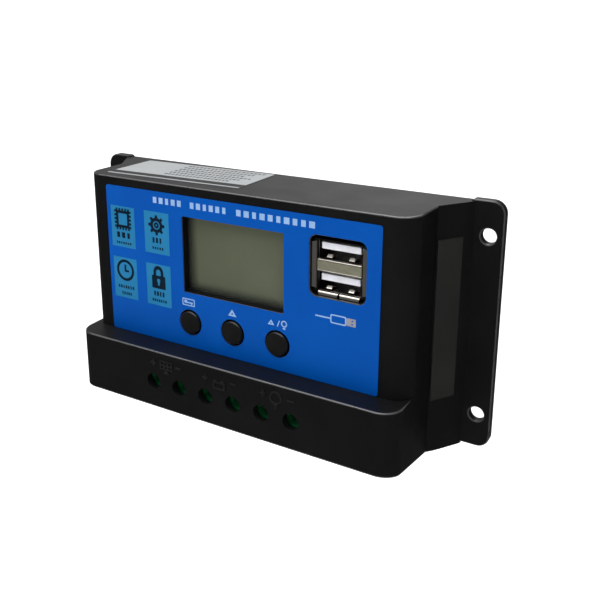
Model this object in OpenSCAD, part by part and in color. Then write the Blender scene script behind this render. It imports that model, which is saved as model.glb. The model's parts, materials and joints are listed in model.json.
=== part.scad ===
// Wall-mounted solar charge controller: a moulded casing with a display, three push buttons,
// a double USB socket and a six-way screw terminal block.
// Frame: X runs to the right, Y runs back to the wall, Z runs up. The origin is the middle of
// the four wall-screw holes, on the back plane. Depths and board heights are positive numbers.

/* [Casing] */
// Width across the two side walls
body_w = 105; // [98:1:130]
// Height of the casing
body_h = 69.4; // [66:0.2:90]
// Depth from the wall to the front panel
panel_d = 27.5; // [26:0.5:36]
// Depth from the wall to the front of the terminal ledge
ledge_d = 35; // [34:0.5:44]
// Height of the terminal ledge above the casing's bottom edge
ledge_h = 21.6; // [20:0.2:26]
// Radius of the upright front corners
corner_r = 5.5; // [3.5:0.5:8]
// Depth from the wall at which the sides start to flare out
flare_d = 12; // [8:0.5:14]
// How far each side flares out
flare_out = 6.25; // [4:0.25:9]
// Depth at which the underside starts to rise towards the front
rise_d = 11.6; // [11:0.1:13]
// How far the underside has risen at the front of the ledge
rise_h = 3.8; // [1:0.1:4.4]
// Thickness of the side, top, bottom and ledge walls
wall_t = 2.2; // [1.6:0.1:2.6]
// Thickness of the front panel's wall
panel_t = 2.5; // [1.8:0.1:3]

/* [Wall ears] */
// How far each ear reaches out from the foot of the flare
ear_reach = 8; // [7:0.5:12]
// Height of the ears
ear_h = 69.5; // [60:0.5:90]
// Thickness of the ears
ear_t = 2.4; // [2:0.1:4]
// Radius of the ears' outer corners
ear_r = 3.5; // [1:0.1:4]
// Width by which an ear is let into the foot of the flare, and radius of its inner corners
ear_root = 1; // [0.6:0.1:2]
// How far the casing's middle sits below the middle of the ears
body_drop = 0.55; // [0:0.05:2]
// Radius of a wall-screw hole
wall_hole_r = 2.1; // [1.5:0.1:2.5]
// Distance of a wall-screw hole from the ear's outer edge
wall_hole_in = 4; // [3:0.25:6]
// Height between the upper and the lower wall-screw holes
wall_hole_h = 50.5; // [40:0.5:60]

/* [Rear cover] */
// Thickness of the rear cover
cover_t = 2; // [1.6:0.1:3]
// Width of the step that the rear cover rests on
cover_step = 1; // [0.6:0.1:1.4]
// Radius of the rear cover's corners
cover_r = 1.5; // [0.5:0.5:4]
// Radius of a cover screw's shank
cover_screw_r = 1.25; // [1:0.05:1.5]
// Radius of a cover screw's head
cover_head_r = 2.5; // [2:0.1:3]
// Height of a cover screw's head
cover_head_h = 1.1; // [0.8:0.1:1.4]
// Length of a cover screw under its head
cover_screw_len = 10; // [6:0.5:14]
// Radius of a post that takes a cover screw
post_r = 2.8; // [2.4:0.1:3.2]

/* [Clearances] */
// Gap around a fixed piece that drops into a recess
fit_gap = 0.15; // [0.05:0.05:0.3]
// Gap around a moving piece
run_gap = 0.3; // [0.2:0.05:0.5]
// Gap around a button cap in its hole
button_gap = 0.35; // [0.2:0.05:0.4]
// Radial clearance of a shaft in its own bore
bore_gap = 0.05; // [0.02:0.01:0.1]

/* [Front panel] */
// Margin between the front label and the casing's sides
label_side = 8; // [2:0.5:8]
// Margin between the front label and the casing's top
label_top = 2.65; // [1:0.05:3]
// Thickness of a printed film label
film_t = 0.2; // [0.1:0.05:0.4]
// Gap between the front label and the ledge below it
label_lift = 0.15; // [0.1:0.05:1]
// Width of the display window
window_w = 33.3; // [30:0.1:36]
// Height of the display window
window_h = 22.4; // [20:0.1:23]
// Distance of the window's middle below the casing's top
window_drop = 19.8; // [18:0.1:21]

/* [Display] */
// How far the display glass reaches past the window on each side
glass_edge = 2.2; // [1.5:0.1:2.5]
// Thickness of the display glass
glass_t = 2.8; // [2:0.1:3.2]
// Thickness of the backlight
backlight_t = 3; // [2:0.1:4]
// Thickness of the display holder's walls
holder_t = 1.5; // [1:0.1:2]
// Thickness of the rim that locates the display glass
rim_t = 1; // [0.6:0.1:1.2]
// Depth of that rim
rim_d = 2; // [1:0.1:2.5]
// Number of display pins along one edge
lcd_pin_n = 10; // [4:1:14]
// Distance between the display's pins
lcd_pin_pitch = 2.54; // [2:0.01:2.6]
// Thickness of a display pin
lcd_pin_t = 0.45; // [0.3:0.05:0.6]

/* [Buttons] */
// Radius of a button cap
button_r = 3.45; // [3:0.05:4]
// Distance between the buttons
button_pitch = 14.65; // [12:0.05:18]
// Height of the buttons' middle above the ledge
button_rise = 7.85; // [6.5:0.05:8.2]
// How far a button cap stands out of the panel
button_proud = 0.9; // [0.6:0.1:2]
// Radius of the cap's rounded edge
button_round = 0.5; // [0.2:0.1:0.6]
// Radius of the flange that holds a cap behind the panel
flange_r = 4.6; // [4.4:0.1:5]
// Thickness of that flange
flange_t = 1.2; // [0.8:0.1:1.6]
// Radius of the cap's socket for the switch plunger
socket_r = 2.6; // [2.3:0.1:3]
// Depth of that socket
socket_d = 2; // [1:0.1:2.5]
// Width of a push switch
switch_w = 6; // [5:0.1:7]
// Height of a push switch's case above the board
switch_h = 3.5; // [3:0.1:5]
// Radius of a switch plunger
plunger_r = 1.7; // [1.4:0.1:1.9]
// Depth of the plunger's foot inside the switch
plunger_in = 2.2; // [1.5:0.1:2.4]
// Travel of a button
button_travel = 0.5; // [0.2:0.1:0.8]

/* [USB socket] */
// Position of the socket to the right of the middle
usb_x = 32.4; // [31:0.1:34]
// Distance of the socket's middle below the casing's top
usb_drop = 15.8; // [14.5:0.1:17]
// Width of the socket's steel shell
usb_w = 14.5; // [14:0.1:14.6]
// Height of the socket's steel shell
usb_h = 14.1; // [14:0.1:15.6]
// Gap between the shell and the panel's cut-out at the sides
usb_side_gap = 0.675; // [0.3:0.025:1]
// Gap between the shell and the panel's cut-out above and below
usb_end_gap = 1.05; // [0.3:0.05:1.5]
// Radius of the cut-out's corners
usb_cut_r = 2; // [1:0.1:3]
// How far the shell sits behind the panel's face
usb_sink = 1; // [0:0.1:2]
// Width of one port
port_w = 12.5; // [12.4:0.1:12.6]
// Height of one port
port_h = 5.12; // [5.1:0.01:5.2]
// Height of the band between the ports
port_band = 3.28; // [3:0.01:3.6]
// Depth of a port
port_d = 9.5; // [9:0.1:10.5]
// Thickness of the shell's sheet
usb_sheet = 0.3; // [0.2:0.05:0.4]
// Width of a port's tongue
tongue_w = 11.1; // [10.8:0.1:11.4]
// Thickness of a port's tongue
tongue_t = 1.84; // [1.7:0.01:2]
// Length of a port's tongue
tongue_len = 8.6; // [8:0.1:9]
// Gap between a tongue and the roof of its port
tongue_gap = 0.7; // [0.5:0.05:1]

/* [Terminals] */
// Number of terminals
term_n = 6; // [4:1:6]
// Distance between the terminals
term_pitch = 9.25; // [9.1:0.05:12]
// Height of the terminal screws above the casing's bottom edge
term_rise = 11.85; // [11.5:0.05:13]
// Radius of a screwdriver hole in the ledge
driver_hole_r = 2.35; // [2:0.05:2.6]
// Thickness of the walls between the terminals
term_wall = 1.25; // [1:0.05:1.6]
// Height of the terminal block above the board
term_h = 21; // [20:0.1:21.5]
// Depth of the terminal block up the board, above its screws
term_back = 7.9; // [7.5:0.1:10]
// Depth of the terminal block down the board, below its screws
term_front = 7.8; // [6:0.1:8]
// Height at which the block's face starts to lean back
term_lean_from = 10; // [9:0.1:12]
// How far the block's face leans back at its top
term_lean = 1.9; // [1.5:0.1:3]
// Thickness of the block's floor
term_floor = 1.2; // [0.8:0.1:1.6]
// Width of a wire entry
entry_w = 6; // [5:0.1:6.5]
// Height of a wire entry
entry_h = 5.2; // [4.8:0.1:5.6]
// Gap between a wire entry and its window in the casing
window_gap = 0.6; // [0.4:0.1:1]
// Length of a clamp cage
cage_len = 7; // [5:0.1:7.4]
// Thickness of a clamp cage's sides and floor
cage_t = 1; // [0.8:0.1:1.2]
// Thickness of a clamp cage's threaded roof
cage_roof = 2; // [1.5:0.1:2.2]
// Height of the wire space in an open clamp
wire_space = 4.8; // [4.5:0.1:5]
// Travel of a clamp cage
cage_travel = 3.5; // [2:0.1:3.6]
// Thickness of a current bar
bar_t = 1; // [0.8:0.1:1.2]
// Radius of a terminal screw's shank
screw_r = 1.5; // [1.25:0.05:1.6]
// Radius of a terminal screw's head
screw_head_r = 2.3; // [2:0.05:2.4]
// Height of a terminal screw's head
screw_head_h = 2.2; // [1.8:0.1:2.6]
// Thickness of the shoulder under a terminal screw's head
shoulder_t = 1; // [0.6:0.1:1.4]

/* [Circuit board] */
// Depth from the wall to the board's front face
board_d = 10.5; // [10:0.1:11]
// Thickness of the board
board_t = 1.6; // [1:0.1:2]
// Gap between the board and the casing's walls and posts
board_gap = 1.1; // [0.6:0.1:2]
// Radius of a pillar that the board is screwed to
pillar_r = 2.2; // [2:0.1:2.6]
// Distance of the pillars from the board's side edges
pillar_in = 2.7; // [2.4:0.1:4]
// Height of the lower pillars above the ledge
pillar_rise = 4.2; // [3:0.1:6]
// Radius of a board screw's shank
board_screw_r = 1; // [0.8:0.05:1.2]
// Radius of a board screw's head
board_head_r = 1.9; // [1.6:0.1:2.4]
// Height of a board screw's head
board_head_h = 1.2; // [0.8:0.1:1.6]
// Length of a board screw under its head
board_screw_len = 7; // [5:0.5:9]

/* [Power parts] */
// Number of power transistors
fet_n = 4; // [2:1:4]
// Distance between the power transistors
fet_pitch = 15; // [12:0.5:18]
// Width of a power transistor
fet_w = 10; // [8:0.5:11]
// Height of a power transistor
fet_h = 9.2; // [8:0.1:12]
// Thickness of a power transistor
fet_t = 4.4; // [3.5:0.1:4.6]
// Height of the power transistors' middle above the terminal screws
fet_rise = 16; // [15:0.5:20]
// Width and height of a thermal pad
pad_w = 11; // [8:0.5:11.5]
// Thickness of the thermal pads
pad_t = 0.5; // [0.3:0.1:0.8]
// Height of the heat spreader
spreader_h = 24; // [16:1:28]
// How far the heat spreader reaches past the outer transistors
spreader_edge = 2; // [0:0.5:4]
// Radius of the larger capacitor
cap_r = 5; // [4:0.1:5.5]
// Height of the larger capacitor
cap_h = 12.5; // [10:0.5:13]
// Radius of the smaller capacitor
small_cap_r = 4; // [3:0.1:4.5]
// Height of the smaller capacitor
small_cap_h = 11; // [8:0.5:12]
// Width of the power inductor
coil_w = 12; // [8:0.5:12.5]
// Height of the power inductor
coil_h = 6; // [4:0.5:8]
// Width of the microcontroller
chip_w = 10; // [7:1:12]

/* [Stickers] */
// Width of the rating label on the top
rating_w = 46; // [30:1:60]
// Depth of the rating label on the top
rating_d = 20.5; // [12:0.5:21]
// Distance of the rating label's middle left of the casing's middle
rating_left = 24.7; // [0:0.1:26]
// Turn of the rating label, which is stuck on by hand
rating_turn = 2.6; // [0:0.1:4]
// Width of the label on the right flare
side_label_w = 7.8; // [5:0.1:8]
// Height of the label on the right flare
side_label_h = 44.8; // [30:0.1:60]
// Distance of that label from the flare's front edge
side_label_in = 0.35; // [0.2:0.05:0.5]
// Height of that label's middle above the casing's middle
side_label_lift = 3.25; // [0:0.05:4]

/* [Hidden] */
$fn = 64;
cut = 1;                                    // how far a cutter runs past the faces it cuts
z_mid = -body_drop;
z_top = z_mid + body_h / 2;
z_bot = z_mid - body_h / 2;
z_ledge = z_bot + ledge_h;
half_w = body_w / 2;
foot_x = half_w + flare_out;                // foot of the flare, where the ear starts
ear_x = foot_x + ear_reach;
hole_x = ear_x - wall_hole_in;
inner_x = half_w - wall_t;
panel_in = panel_d - panel_t;               // depth of the front panel's inner face
ledge_in = ledge_d - wall_t;
rise_slope = rise_h / (ledge_d - rise_d);
cover_x = inner_x + cover_step + wall_t;
cover_z0 = z_bot + wall_t - cover_step;
cover_z1 = z_top - wall_t + cover_step;
post_x = inner_x - post_r - fit_gap;
post_z = [z_bot + wall_t + post_r + fit_gap, z_top - wall_t - post_r - fit_gap];
board_x = post_x - post_r - board_gap;
board_z0 = z_bot + wall_t + board_gap;
board_z1 = z_top - wall_t - board_gap;
board_back = board_d - board_t;
pillar_x = board_x - pillar_in;
pillar_z = [z_ledge + pillar_rise, board_z1 - pillar_r];
window_z = z_top - window_drop;
glass_w = window_w + 2 * glass_edge;
glass_h = window_h + 2 * glass_edge;
glass_back = panel_in - glass_t;
light_back = glass_back - backlight_t;
label_w = body_w - 2 * label_side;
label_z0 = z_ledge + label_lift;
label_h = z_top - label_top - label_z0;
button_z = z_ledge + button_rise;
button_hole_r = button_r + button_gap;
plunger_foot = switch_h - plunger_in;       // height of the plunger's foot above the board
socket_top = panel_in - board_d - flange_t; // height of the socket's root above the board
usb_z = z_top - usb_drop;
usb_front = panel_d - usb_sink;
usb_cut_w = usb_w + 2 * usb_side_gap;
usb_cut_h = usb_h + 2 * usb_end_gap;
port_floor = usb_front - port_d;
port_step = (port_h + port_band) / 2;
term_z = z_bot + term_rise;
term_w = term_n * term_pitch + term_wall;
cage_w = term_pitch - term_wall - 2 * run_gap;
cage_inner = cage_w - 2 * cage_t;
bar_w = cage_inner - 2 * run_gap;
cage_rest = 0.8;                            // gap between an open cage and the block's floor
bar_play = 0.2;                             // gap between an open cage's roof and its bar
cage_stop = 0.5;                            // room left above a raised cage
cage_end_gap = 0.5;                         // gap at each end of a cage
pin_out = 1.2;                              // how far solder pins stand out behind the board
cage_floor = term_floor + cage_rest;        // heights above the board, clamp open
wire_floor = cage_floor + cage_t;
bar_h = wire_floor + wire_space;
cage_ceiling = bar_h + bar_t + bar_play;
cage_top = cage_ceiling + cage_roof;
screw_tip = bar_h + bar_t + fit_gap;
shoulder_h = cage_top + cage_travel + cage_stop;
head_seat = shoulder_h + shoulder_t;
chamber_len = cage_len + 2 * cage_end_gap;
leg_z = term_z + chamber_len / 2 + term_wall;   // middle of the bars' upright legs
pin_end = board_t + pin_out;                // how far the pins reach behind the board's front
fet_z = term_z + fet_rise;
part_space = 2;                             // space between neighbouring board parts
coil_z0 = usb_z - usb_h / 2 - part_space - coil_w;
chip_z = board_z1 - chip_w / 2 - 6;
flare_angle = atan2(flare_d - ear_t, flare_out);

// x of terminal i, counted from 0
function term_x(i) = (i - (term_n - 1) / 2) * term_pitch;
// x of button i, counted from 0
function button_x(i) = (i - 1) * button_pitch;

// Extrudes a shape drawn in X and Z forwards, from depth d0 to depth d1
module forward(d0, d1) {
    translate([0, -d0, 0]) rotate([90, 0, 0]) linear_extrude(d1 - d0) children();
}

// Extrudes a shape drawn in Y and Z sideways, centred on x
module sideways(x, w) {
    translate([x - w / 2, 0, 0]) rotate([90, 0, 90]) linear_extrude(w) children();
}

// A box from depth d0 to depth d1, centred on x and z
module slab(x, z, w, h, d0, d1) {
    translate([x - w / 2, -d1, z - h / 2]) cube([w, d1 - d0, h]);
}

// A rod along Y from depth d0 to depth d1
module rod(x, z, r, d0, d1) {
    translate([x, -d0, z]) rotate([90, 0, 0]) cylinder(h = d1 - d0, r = r);
}

// Rectangle with round corners, from its lower left corner
module round_rect(x, z, w, h, r) {
    union() {
        translate([x + r, z]) square([w - 2 * r, h]);
        translate([x, z + r]) square([w, h - 2 * r]);
        for (cx = [x + r, x + w - r], cz = [z + r, z + h - r]) translate([cx, cz]) circle(r);
    }
}

// Plan of a box with round front corners, from depth d0 to depth d1
module round_front(half, d0, d1, r) {
    union() {
        translate([-half, -d1 + r]) square([2 * half, d1 - r - d0]);
        translate([-half + r, -d1]) square([2 * (half - r), d1 - d0]);
        for (s = [-1, 1]) translate([s * (half - r), -d1 + r]) circle(r);
    }
}

// Everything below the sloping underside, raised by lift
module below_slope(lift) {
    reach = ledge_d + cut;
    sideways(0, 2 * ear_x) polygon([
        [cut, z_bot + lift - cut - wall_t], [cut, z_bot + lift], [-rise_d, z_bot + lift],
        [-reach, z_bot + lift + (reach - rise_d) * rise_slope], [-reach, z_bot + lift - cut - wall_t]]);
}

module casing_outside() {
    difference() {
        union() {
            translate([0, 0, z_bot]) linear_extrude(body_h) union() {
                round_front(half_w, flare_d - cut, panel_d, corner_r);
                polygon([[-half_w, -flare_d], [half_w, -flare_d], [foot_x, -ear_t], [foot_x, 0],
                         [-foot_x, 0], [-foot_x, -ear_t]]);
            }
            translate([0, 0, z_bot]) linear_extrude(ledge_h)
                round_front(half_w, flare_d - cut, ledge_d, corner_r);
        }
        below_slope(0);
    }
    for (s = [0, 1]) mirror([s, 0, 0]) forward(0, ear_t)
        difference() {
            union() {
                round_rect(foot_x - ear_root, -ear_h / 2, ear_reach + ear_root, ear_h, ear_r);
                round_rect(foot_x - ear_root, -ear_h / 2, ear_reach / 2 + ear_root, ear_h, ear_root);
            }
            for (z = [-wall_hole_h / 2, wall_hole_h / 2]) translate([hole_x, z]) circle(wall_hole_r);
        }
}

module casing_inside() {
    inner_r = max(corner_r - wall_t, 1);
    back_x = inner_x + wall_t;
    difference() {
        union() {
            translate([0, 0, z_bot]) linear_extrude(z_top - wall_t - z_bot) union() {
                round_front(inner_x, flare_d - cut, panel_in, inner_r);
                polygon([[-inner_x, -flare_d], [inner_x, -flare_d], [back_x, -flare_d / 2],
                         [back_x, -cover_t], [-back_x, -cover_t], [-back_x, -flare_d / 2]]);
            }
            translate([0, 0, z_bot]) linear_extrude(ledge_h - wall_t)
                round_front(inner_x, flare_d - cut, ledge_in, inner_r);
        }
        below_slope(wall_t);
    }
    forward(-cut, cover_t) round_rect(-cover_x, cover_z0, 2 * cover_x, cover_z1 - cover_z0, cover_r);
}

// Posts for the cover screws, standing against the side walls
module cover_posts() {
    tops = [ledge_in + 1, panel_in + 1];
    for (x = [-post_x, post_x], i = [0, 1]) {
        rod(x, post_z[i], post_r, cover_t, tops[i]);
        slab(x + sign(x) * post_r, post_z[i], post_r, post_r, cover_t, tops[i]);
    }
}

module front_housing() {
    color([0.09, 0.09, 0.095]) difference() {
        union() {
            difference() {
                casing_outside();
                casing_inside();
            }
            intersection() {
                cover_posts();
                casing_outside();
            }
            for (x = [-pillar_x, pillar_x], z = pillar_z) rod(x, z, pillar_r, board_d, panel_in + 1);
            // rim that locates the display glass
            difference() {
                slab(0, window_z, glass_w + 2 * (fit_gap + rim_t), glass_h + 2 * (fit_gap + rim_t),
                     panel_in - rim_d, panel_in + 1);
                slab(0, window_z, glass_w + 2 * fit_gap, glass_h + 2 * fit_gap,
                     panel_in - rim_d - cut, panel_in);
            }
        }
        slab(0, window_z, window_w, window_h, panel_in - cut, panel_d + cut);
        forward(panel_in - cut, panel_d + cut)
            round_rect(usb_x - usb_cut_w / 2, usb_z - usb_cut_h / 2, usb_cut_w, usb_cut_h, usb_cut_r);
        for (i = [0:2]) rod(button_x(i), button_z, button_hole_r, panel_in - cut, panel_d + cut);
        for (i = [0:term_n - 1]) {
            rod(term_x(i), term_z, driver_hole_r, ledge_in - cut, ledge_d + cut);
            wire_window(i);
        }
        for (x = [-post_x, post_x], z = post_z)
            rod(x, z, cover_screw_r, cover_t - cut, cover_screw_len + cover_head_h + cut);
        for (x = [-pillar_x, pillar_x], z = pillar_z)
            rod(x, z, board_screw_r, board_d - cut, board_back + board_screw_len + cut);
    }
}

// Opening in the casing's underside in front of wire entry i
module wire_window(i) {
    w = entry_w + 2 * window_gap;
    h = entry_h + 2 * window_gap;
    translate([term_x(i) - w / 2, -board_d - wire_floor - entry_h - window_gap, z_bot - cut])
        cube([w, h, wall_t + rise_h + 2 * cut]);
}

module rear_cover() {
    color([0.1, 0.1, 0.105]) difference() {
        forward(0, cover_t)
            round_rect(-cover_x + fit_gap, cover_z0 + fit_gap, 2 * (cover_x - fit_gap),
                       cover_z1 - cover_z0 - 2 * fit_gap, cover_r);
        for (x = [-post_x, post_x], z = post_z) {
            rod(x, z, cover_screw_r + fit_gap, -cut, cover_t + cut);
            rod(x, z, cover_head_r + fit_gap, -cut, cover_head_h);
        }
    }
}

// A pan-head screw along Y, driven forwards, with a cross recess; head from depth d to d + head_h
module cross_screw(x, z, r, head_r, head_h, len, d) {
    recess_w = head_r * 0.35;
    difference() {
        union() {
            rod(x, z, head_r, d, d + head_h);
            rod(x, z, r, d + head_h, d + head_h + len);
        }
        slab(x, z, head_r * 1.3, recess_w, d - cut, d + head_h * 0.6);
        slab(x, z, recess_w, head_r * 1.3, d - cut, d + head_h * 0.6);
    }
}

module cover_screws() {
    color([0.6, 0.6, 0.62]) for (x = [-post_x, post_x], z = post_z)
        cross_screw(x, z, cover_screw_r, cover_head_r, cover_head_h, cover_screw_len, 0);
}

module front_label() {
    color([0.02, 0.3, 0.63]) difference() {
        slab(0, label_z0 + label_h / 2, label_w, label_h, panel_d, panel_d + film_t);
        slab(0, window_z, window_w, window_h, panel_d - cut, panel_d + cut);
        forward(panel_d - cut, panel_d + cut)
            round_rect(usb_x - usb_cut_w / 2, usb_z - usb_cut_h / 2, usb_cut_w, usb_cut_h, usb_cut_r);
        for (i = [0:2]) rod(button_x(i), button_z, button_hole_r, panel_d - cut, panel_d + cut);
    }
}

module rating_label() {
    color([0.85, 0.85, 0.83]) translate([-rating_left, -panel_d / 2 + 1, z_top])
        rotate([0, 0, rating_turn])
            translate([-rating_w / 2, -rating_d / 2, 0]) cube([rating_w, rating_d, film_t]);
}

module side_label() {
    color([0.13, 0.13, 0.13]) translate([half_w, -flare_d, z_mid + side_label_lift])
        rotate([0, 0, flare_angle])
            translate([side_label_in, -film_t, -side_label_h / 2])
                cube([side_label_w, film_t, side_label_h]);
}

module lcd_glass() {
    color([0.37, 0.39, 0.31]) slab(0, window_z, glass_w, glass_h, glass_back, panel_in);
}

module lcd_backlight() {
    color([0.85, 0.87, 0.85])
        slab(0, window_z, glass_w - 2 * lcd_pin_t, glass_h - 4 * lcd_pin_t, light_back, glass_back);
}

module lcd_holder() {
    inner_w = glass_w - 2 * lcd_pin_t - 2 * holder_t;
    inner_h = glass_h - 4 * lcd_pin_t - 2 * holder_t;
    color([0.9, 0.9, 0.88]) difference() {
        slab(0, window_z, inner_w + 2 * holder_t, inner_h + 2 * holder_t, board_d, light_back);
        slab(0, window_z, inner_w, inner_h, board_d - cut, light_back + cut);
    }
}

// Where the display's pins stand
module at_lcd_pins() {
    for (i = [0:lcd_pin_n - 1], s = [-1, 1])
        translate([(i - (lcd_pin_n - 1) / 2) * lcd_pin_pitch, 0,
                   window_z + s * (glass_h / 2 - lcd_pin_t)]) children();
}

module lcd_pins() {
    color([0.7, 0.7, 0.72])
        at_lcd_pins() slab(0, 0, lcd_pin_t, lcd_pin_t, board_d - pin_end, glass_back);
}

module circuit_board() {
    color([0.04, 0.3, 0.14]) difference() {
        translate([-board_x, -board_d, board_z0]) cube([2 * board_x, board_t, board_z1 - board_z0]);
        for (x = [-pillar_x, pillar_x], z = pillar_z)
            rod(x, z, board_screw_r + fit_gap, board_back - cut, board_d + cut);
        at_lcd_pins() rod(0, 0, lcd_pin_t, board_back - cut, board_d + cut);
        for (i = [0:term_n - 1])
            slab(term_x(i), leg_z, bar_w + 2 * fit_gap, bar_t + 2 * fit_gap, board_back - cut,
                 board_d + cut);
    }
}

module board_screws() {
    color([0.6, 0.6, 0.62]) for (x = [-pillar_x, pillar_x], z = pillar_z)
        cross_screw(x, z, board_screw_r, board_head_r, board_head_h, board_screw_len,
                    board_back - board_head_h);
}

module tact_switches() {
    color([0.15, 0.15, 0.16]) for (i = [0:2]) difference() {
        slab(button_x(i), button_z, switch_w, switch_w, board_d, board_d + switch_h);
        rod(button_x(i), button_z, plunger_r + 2 * bore_gap,
            board_d + plunger_foot - button_travel - run_gap / 2, board_d + switch_h + cut);
    }
}

module button_cap(i) {
    front = panel_d + button_proud;
    socket_end = panel_in - flange_t - socket_d;
    color([0.07, 0.07, 0.07]) translate([button_x(i), 0, button_z]) rotate([90, 0, 0]) difference() {
        rotate_extrude() union() {
            translate([0, panel_in - flange_t]) square([flange_r, flange_t]);
            translate([0, socket_end]) square([socket_r, socket_d + flange_t]);
            translate([0, panel_in - flange_t]) square([button_r, front - button_round - panel_in + flange_t]);
            translate([0, panel_in]) square([button_r - button_round, front - panel_in]);
            translate([button_r - button_round, front - button_round]) circle(button_round);
        }
        translate([0, 0, socket_end - cut]) cylinder(h = socket_d + cut, r = plunger_r);
    }
}

module switch_plunger(i) {
    color([0.12, 0.12, 0.12])
        rod(button_x(i), button_z, plunger_r, board_d + plunger_foot, board_d + socket_top);
}

module usb_shell() {
    color([0.75, 0.74, 0.72]) difference() {
        slab(usb_x, usb_z, usb_w, usb_h, board_d, usb_front);
        for (s = [-1, 1])
            slab(usb_x, usb_z + s * port_step, port_w, port_h, port_floor - cut, usb_front + cut);
        slab(usb_x, usb_z, usb_w - 2 * usb_sheet, usb_h - 2 * usb_sheet, board_d - cut, port_floor);
    }
}

// Height of the middle of the tongue in the upper (s = 1) or lower (s = -1) port
function tongue_z(s) = usb_z + s * port_step + port_h / 2 - tongue_gap - tongue_t / 2;

module usb_insulator() {
    color([0.9, 0.9, 0.92]) union() {
        slab(usb_x, usb_z, usb_w - 2 * usb_sheet, usb_h - 2 * usb_sheet, board_d, port_floor);
        for (s = [-1, 1])
            slab(usb_x, tongue_z(s), tongue_w, tongue_t, port_floor - cut, port_floor + tongue_len);
    }
}

module usb_contacts() {
    contact_pitch = 2.33;
    contact_w = 1;
    contact_t = 0.25;
    contact_len = 7;
    color([0.85, 0.7, 0.35]) for (s = [-1, 1], i = [0:3])
        slab(usb_x + (i - 1.5) * contact_pitch, tongue_z(s) - tongue_t / 2 - contact_t / 2,
             contact_w, contact_t, port_floor, port_floor + contact_len);
}

module terminal_block() {
    z_face = term_z - term_front;
    z_back = term_z + term_back;
    chamber_w = term_pitch - term_wall;
    color([0.05, 0.42, 0.2]) difference() {
        sideways(0, term_w) polygon([
            [-board_d, z_face], [-board_d - term_lean_from, z_face],
            [-board_d - term_h, z_face + term_lean], [-board_d - term_h, z_back - term_lean],
            [-board_d - term_lean_from, z_back], [-board_d, z_back]]);
        for (i = [0:term_n - 1]) {
            slab(term_x(i), term_z, chamber_w, chamber_len, board_d + term_floor, board_d + shoulder_h);
            slab(term_x(i), z_face, entry_w, 2 * term_front, board_d + wire_floor,
                 board_d + wire_floor + entry_h);
            rod(term_x(i), term_z, screw_r + run_gap, board_d + shoulder_h - cut, board_d + head_seat + cut);
            rod(term_x(i), term_z, screw_head_r + run_gap, board_d + head_seat, board_d + term_h + cut);
            bar_slot(i);
        }
    }
}

// Space in the block for current bar i: its plate runs back to its upright leg
module bar_slot(i) {
    slab(term_x(i), (term_z + leg_z) / 2, bar_w, leg_z - term_z + bar_t, board_d + bar_h,
         board_d + bar_h + bar_t);
    slab(term_x(i), leg_z, bar_w, bar_t, board_d - cut, board_d + bar_h + bar_t);
}

module terminal_bars() {
    plate_front = term_z - cage_len / 2;
    plate_back = leg_z + bar_t / 2;
    color([0.72, 0.72, 0.7]) for (i = [0:term_n - 1]) union() {
        slab(term_x(i), (plate_front + plate_back) / 2, bar_w, plate_back - plate_front,
             board_d + bar_h, board_d + bar_h + bar_t);
        slab(term_x(i), leg_z, bar_w, bar_t, board_d - pin_end, board_d + bar_h + bar_t);
    }
}

module clamp_cage(i) {
    if (i < term_n) color([0.78, 0.78, 0.76]) difference() {
        slab(term_x(i), term_z, cage_w, cage_len, board_d + cage_floor, board_d + cage_top);
        slab(term_x(i), term_z, cage_inner, cage_len + 2 * cut, board_d + wire_floor,
             board_d + cage_ceiling);
        rod(term_x(i), term_z, screw_r + bore_gap, board_d + cage_ceiling - cut, board_d + cage_top + cut);
    }
}

module terminal_screw(i) {
    slot_w = 0.8;
    if (i < term_n) color([0.8, 0.8, 0.8]) difference() {
        union() {
            rod(term_x(i), term_z, screw_r, board_d + screw_tip, board_d + head_seat + 0.1);
            rod(term_x(i), term_z, screw_head_r, board_d + head_seat, board_d + head_seat + screw_head_h);
        }
        for (w = [[2 * screw_head_r, slot_w], [slot_w, screw_head_r]])
            slab(term_x(i), term_z, w[0] * 1.1, w[1], board_d + head_seat + screw_head_h * 0.45,
                 board_d + head_seat + screw_head_h + cut);
    }
}

// x of power transistor i, counted from 0
function fet_x(i) = (i - (fet_n - 1) / 2) * fet_pitch;

module power_transistors() {
    color([0.1, 0.1, 0.1]) for (i = [0:fet_n - 1])
        slab(fet_x(i), fet_z, fet_w, fet_h, board_back - fet_t, board_back);
}

module thermal_pads() {
    color([0.55, 0.6, 0.7]) for (i = [0:fet_n - 1])
        slab(fet_x(i), fet_z, pad_w, pad_w, board_back - fet_t - pad_t, board_back - fet_t);
}

module heat_spreader() {
    spreader_w = (fet_n - 1) * fet_pitch + fet_w + 2 * spreader_edge;
    color([0.75, 0.76, 0.78])
        slab(0, fet_z, spreader_w, spreader_h, cover_t, board_back - fet_t - pad_t);
}

// The two capacitors stand one above the other, between the display and the left pillars
module capacitors() {
    space = 2;
    x = -(glass_w / 2 + board_x) / 2;
    middle = window_z - (cap_r - small_cap_r);
    color([0.1, 0.12, 0.2]) {
        rod(x, middle + cap_r + space / 2, cap_r, board_d, board_d + cap_h);
        rod(x, middle - small_cap_r - space / 2, small_cap_r, board_d, board_d + small_cap_h);
    }
}

// The inductor lies under the USB socket
module inductor() {
    coil_r = 2.5;
    color([0.25, 0.25, 0.26]) forward(board_d, board_d + coil_h)
        round_rect(usb_x - coil_w / 2, coil_z0, coil_w, coil_w, coil_r);
}

module regulator_chip() {
    size = [5, 4, 1.6];
    color([0.1, 0.1, 0.1])
        slab(usb_x - part_space / 2 - size[0] / 2, coil_z0 - part_space - size[1] / 2, size[0], size[1],
             board_d, board_d + size[2]);
}

module diode() {
    size = [4.6, 6, 2.3];
    color([0.13, 0.13, 0.13])
        slab(usb_x + part_space / 2 + size[0] / 2, coil_z0 - part_space - size[1] / 2, size[0], size[1],
             board_d, board_d + size[2]);
}

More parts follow.
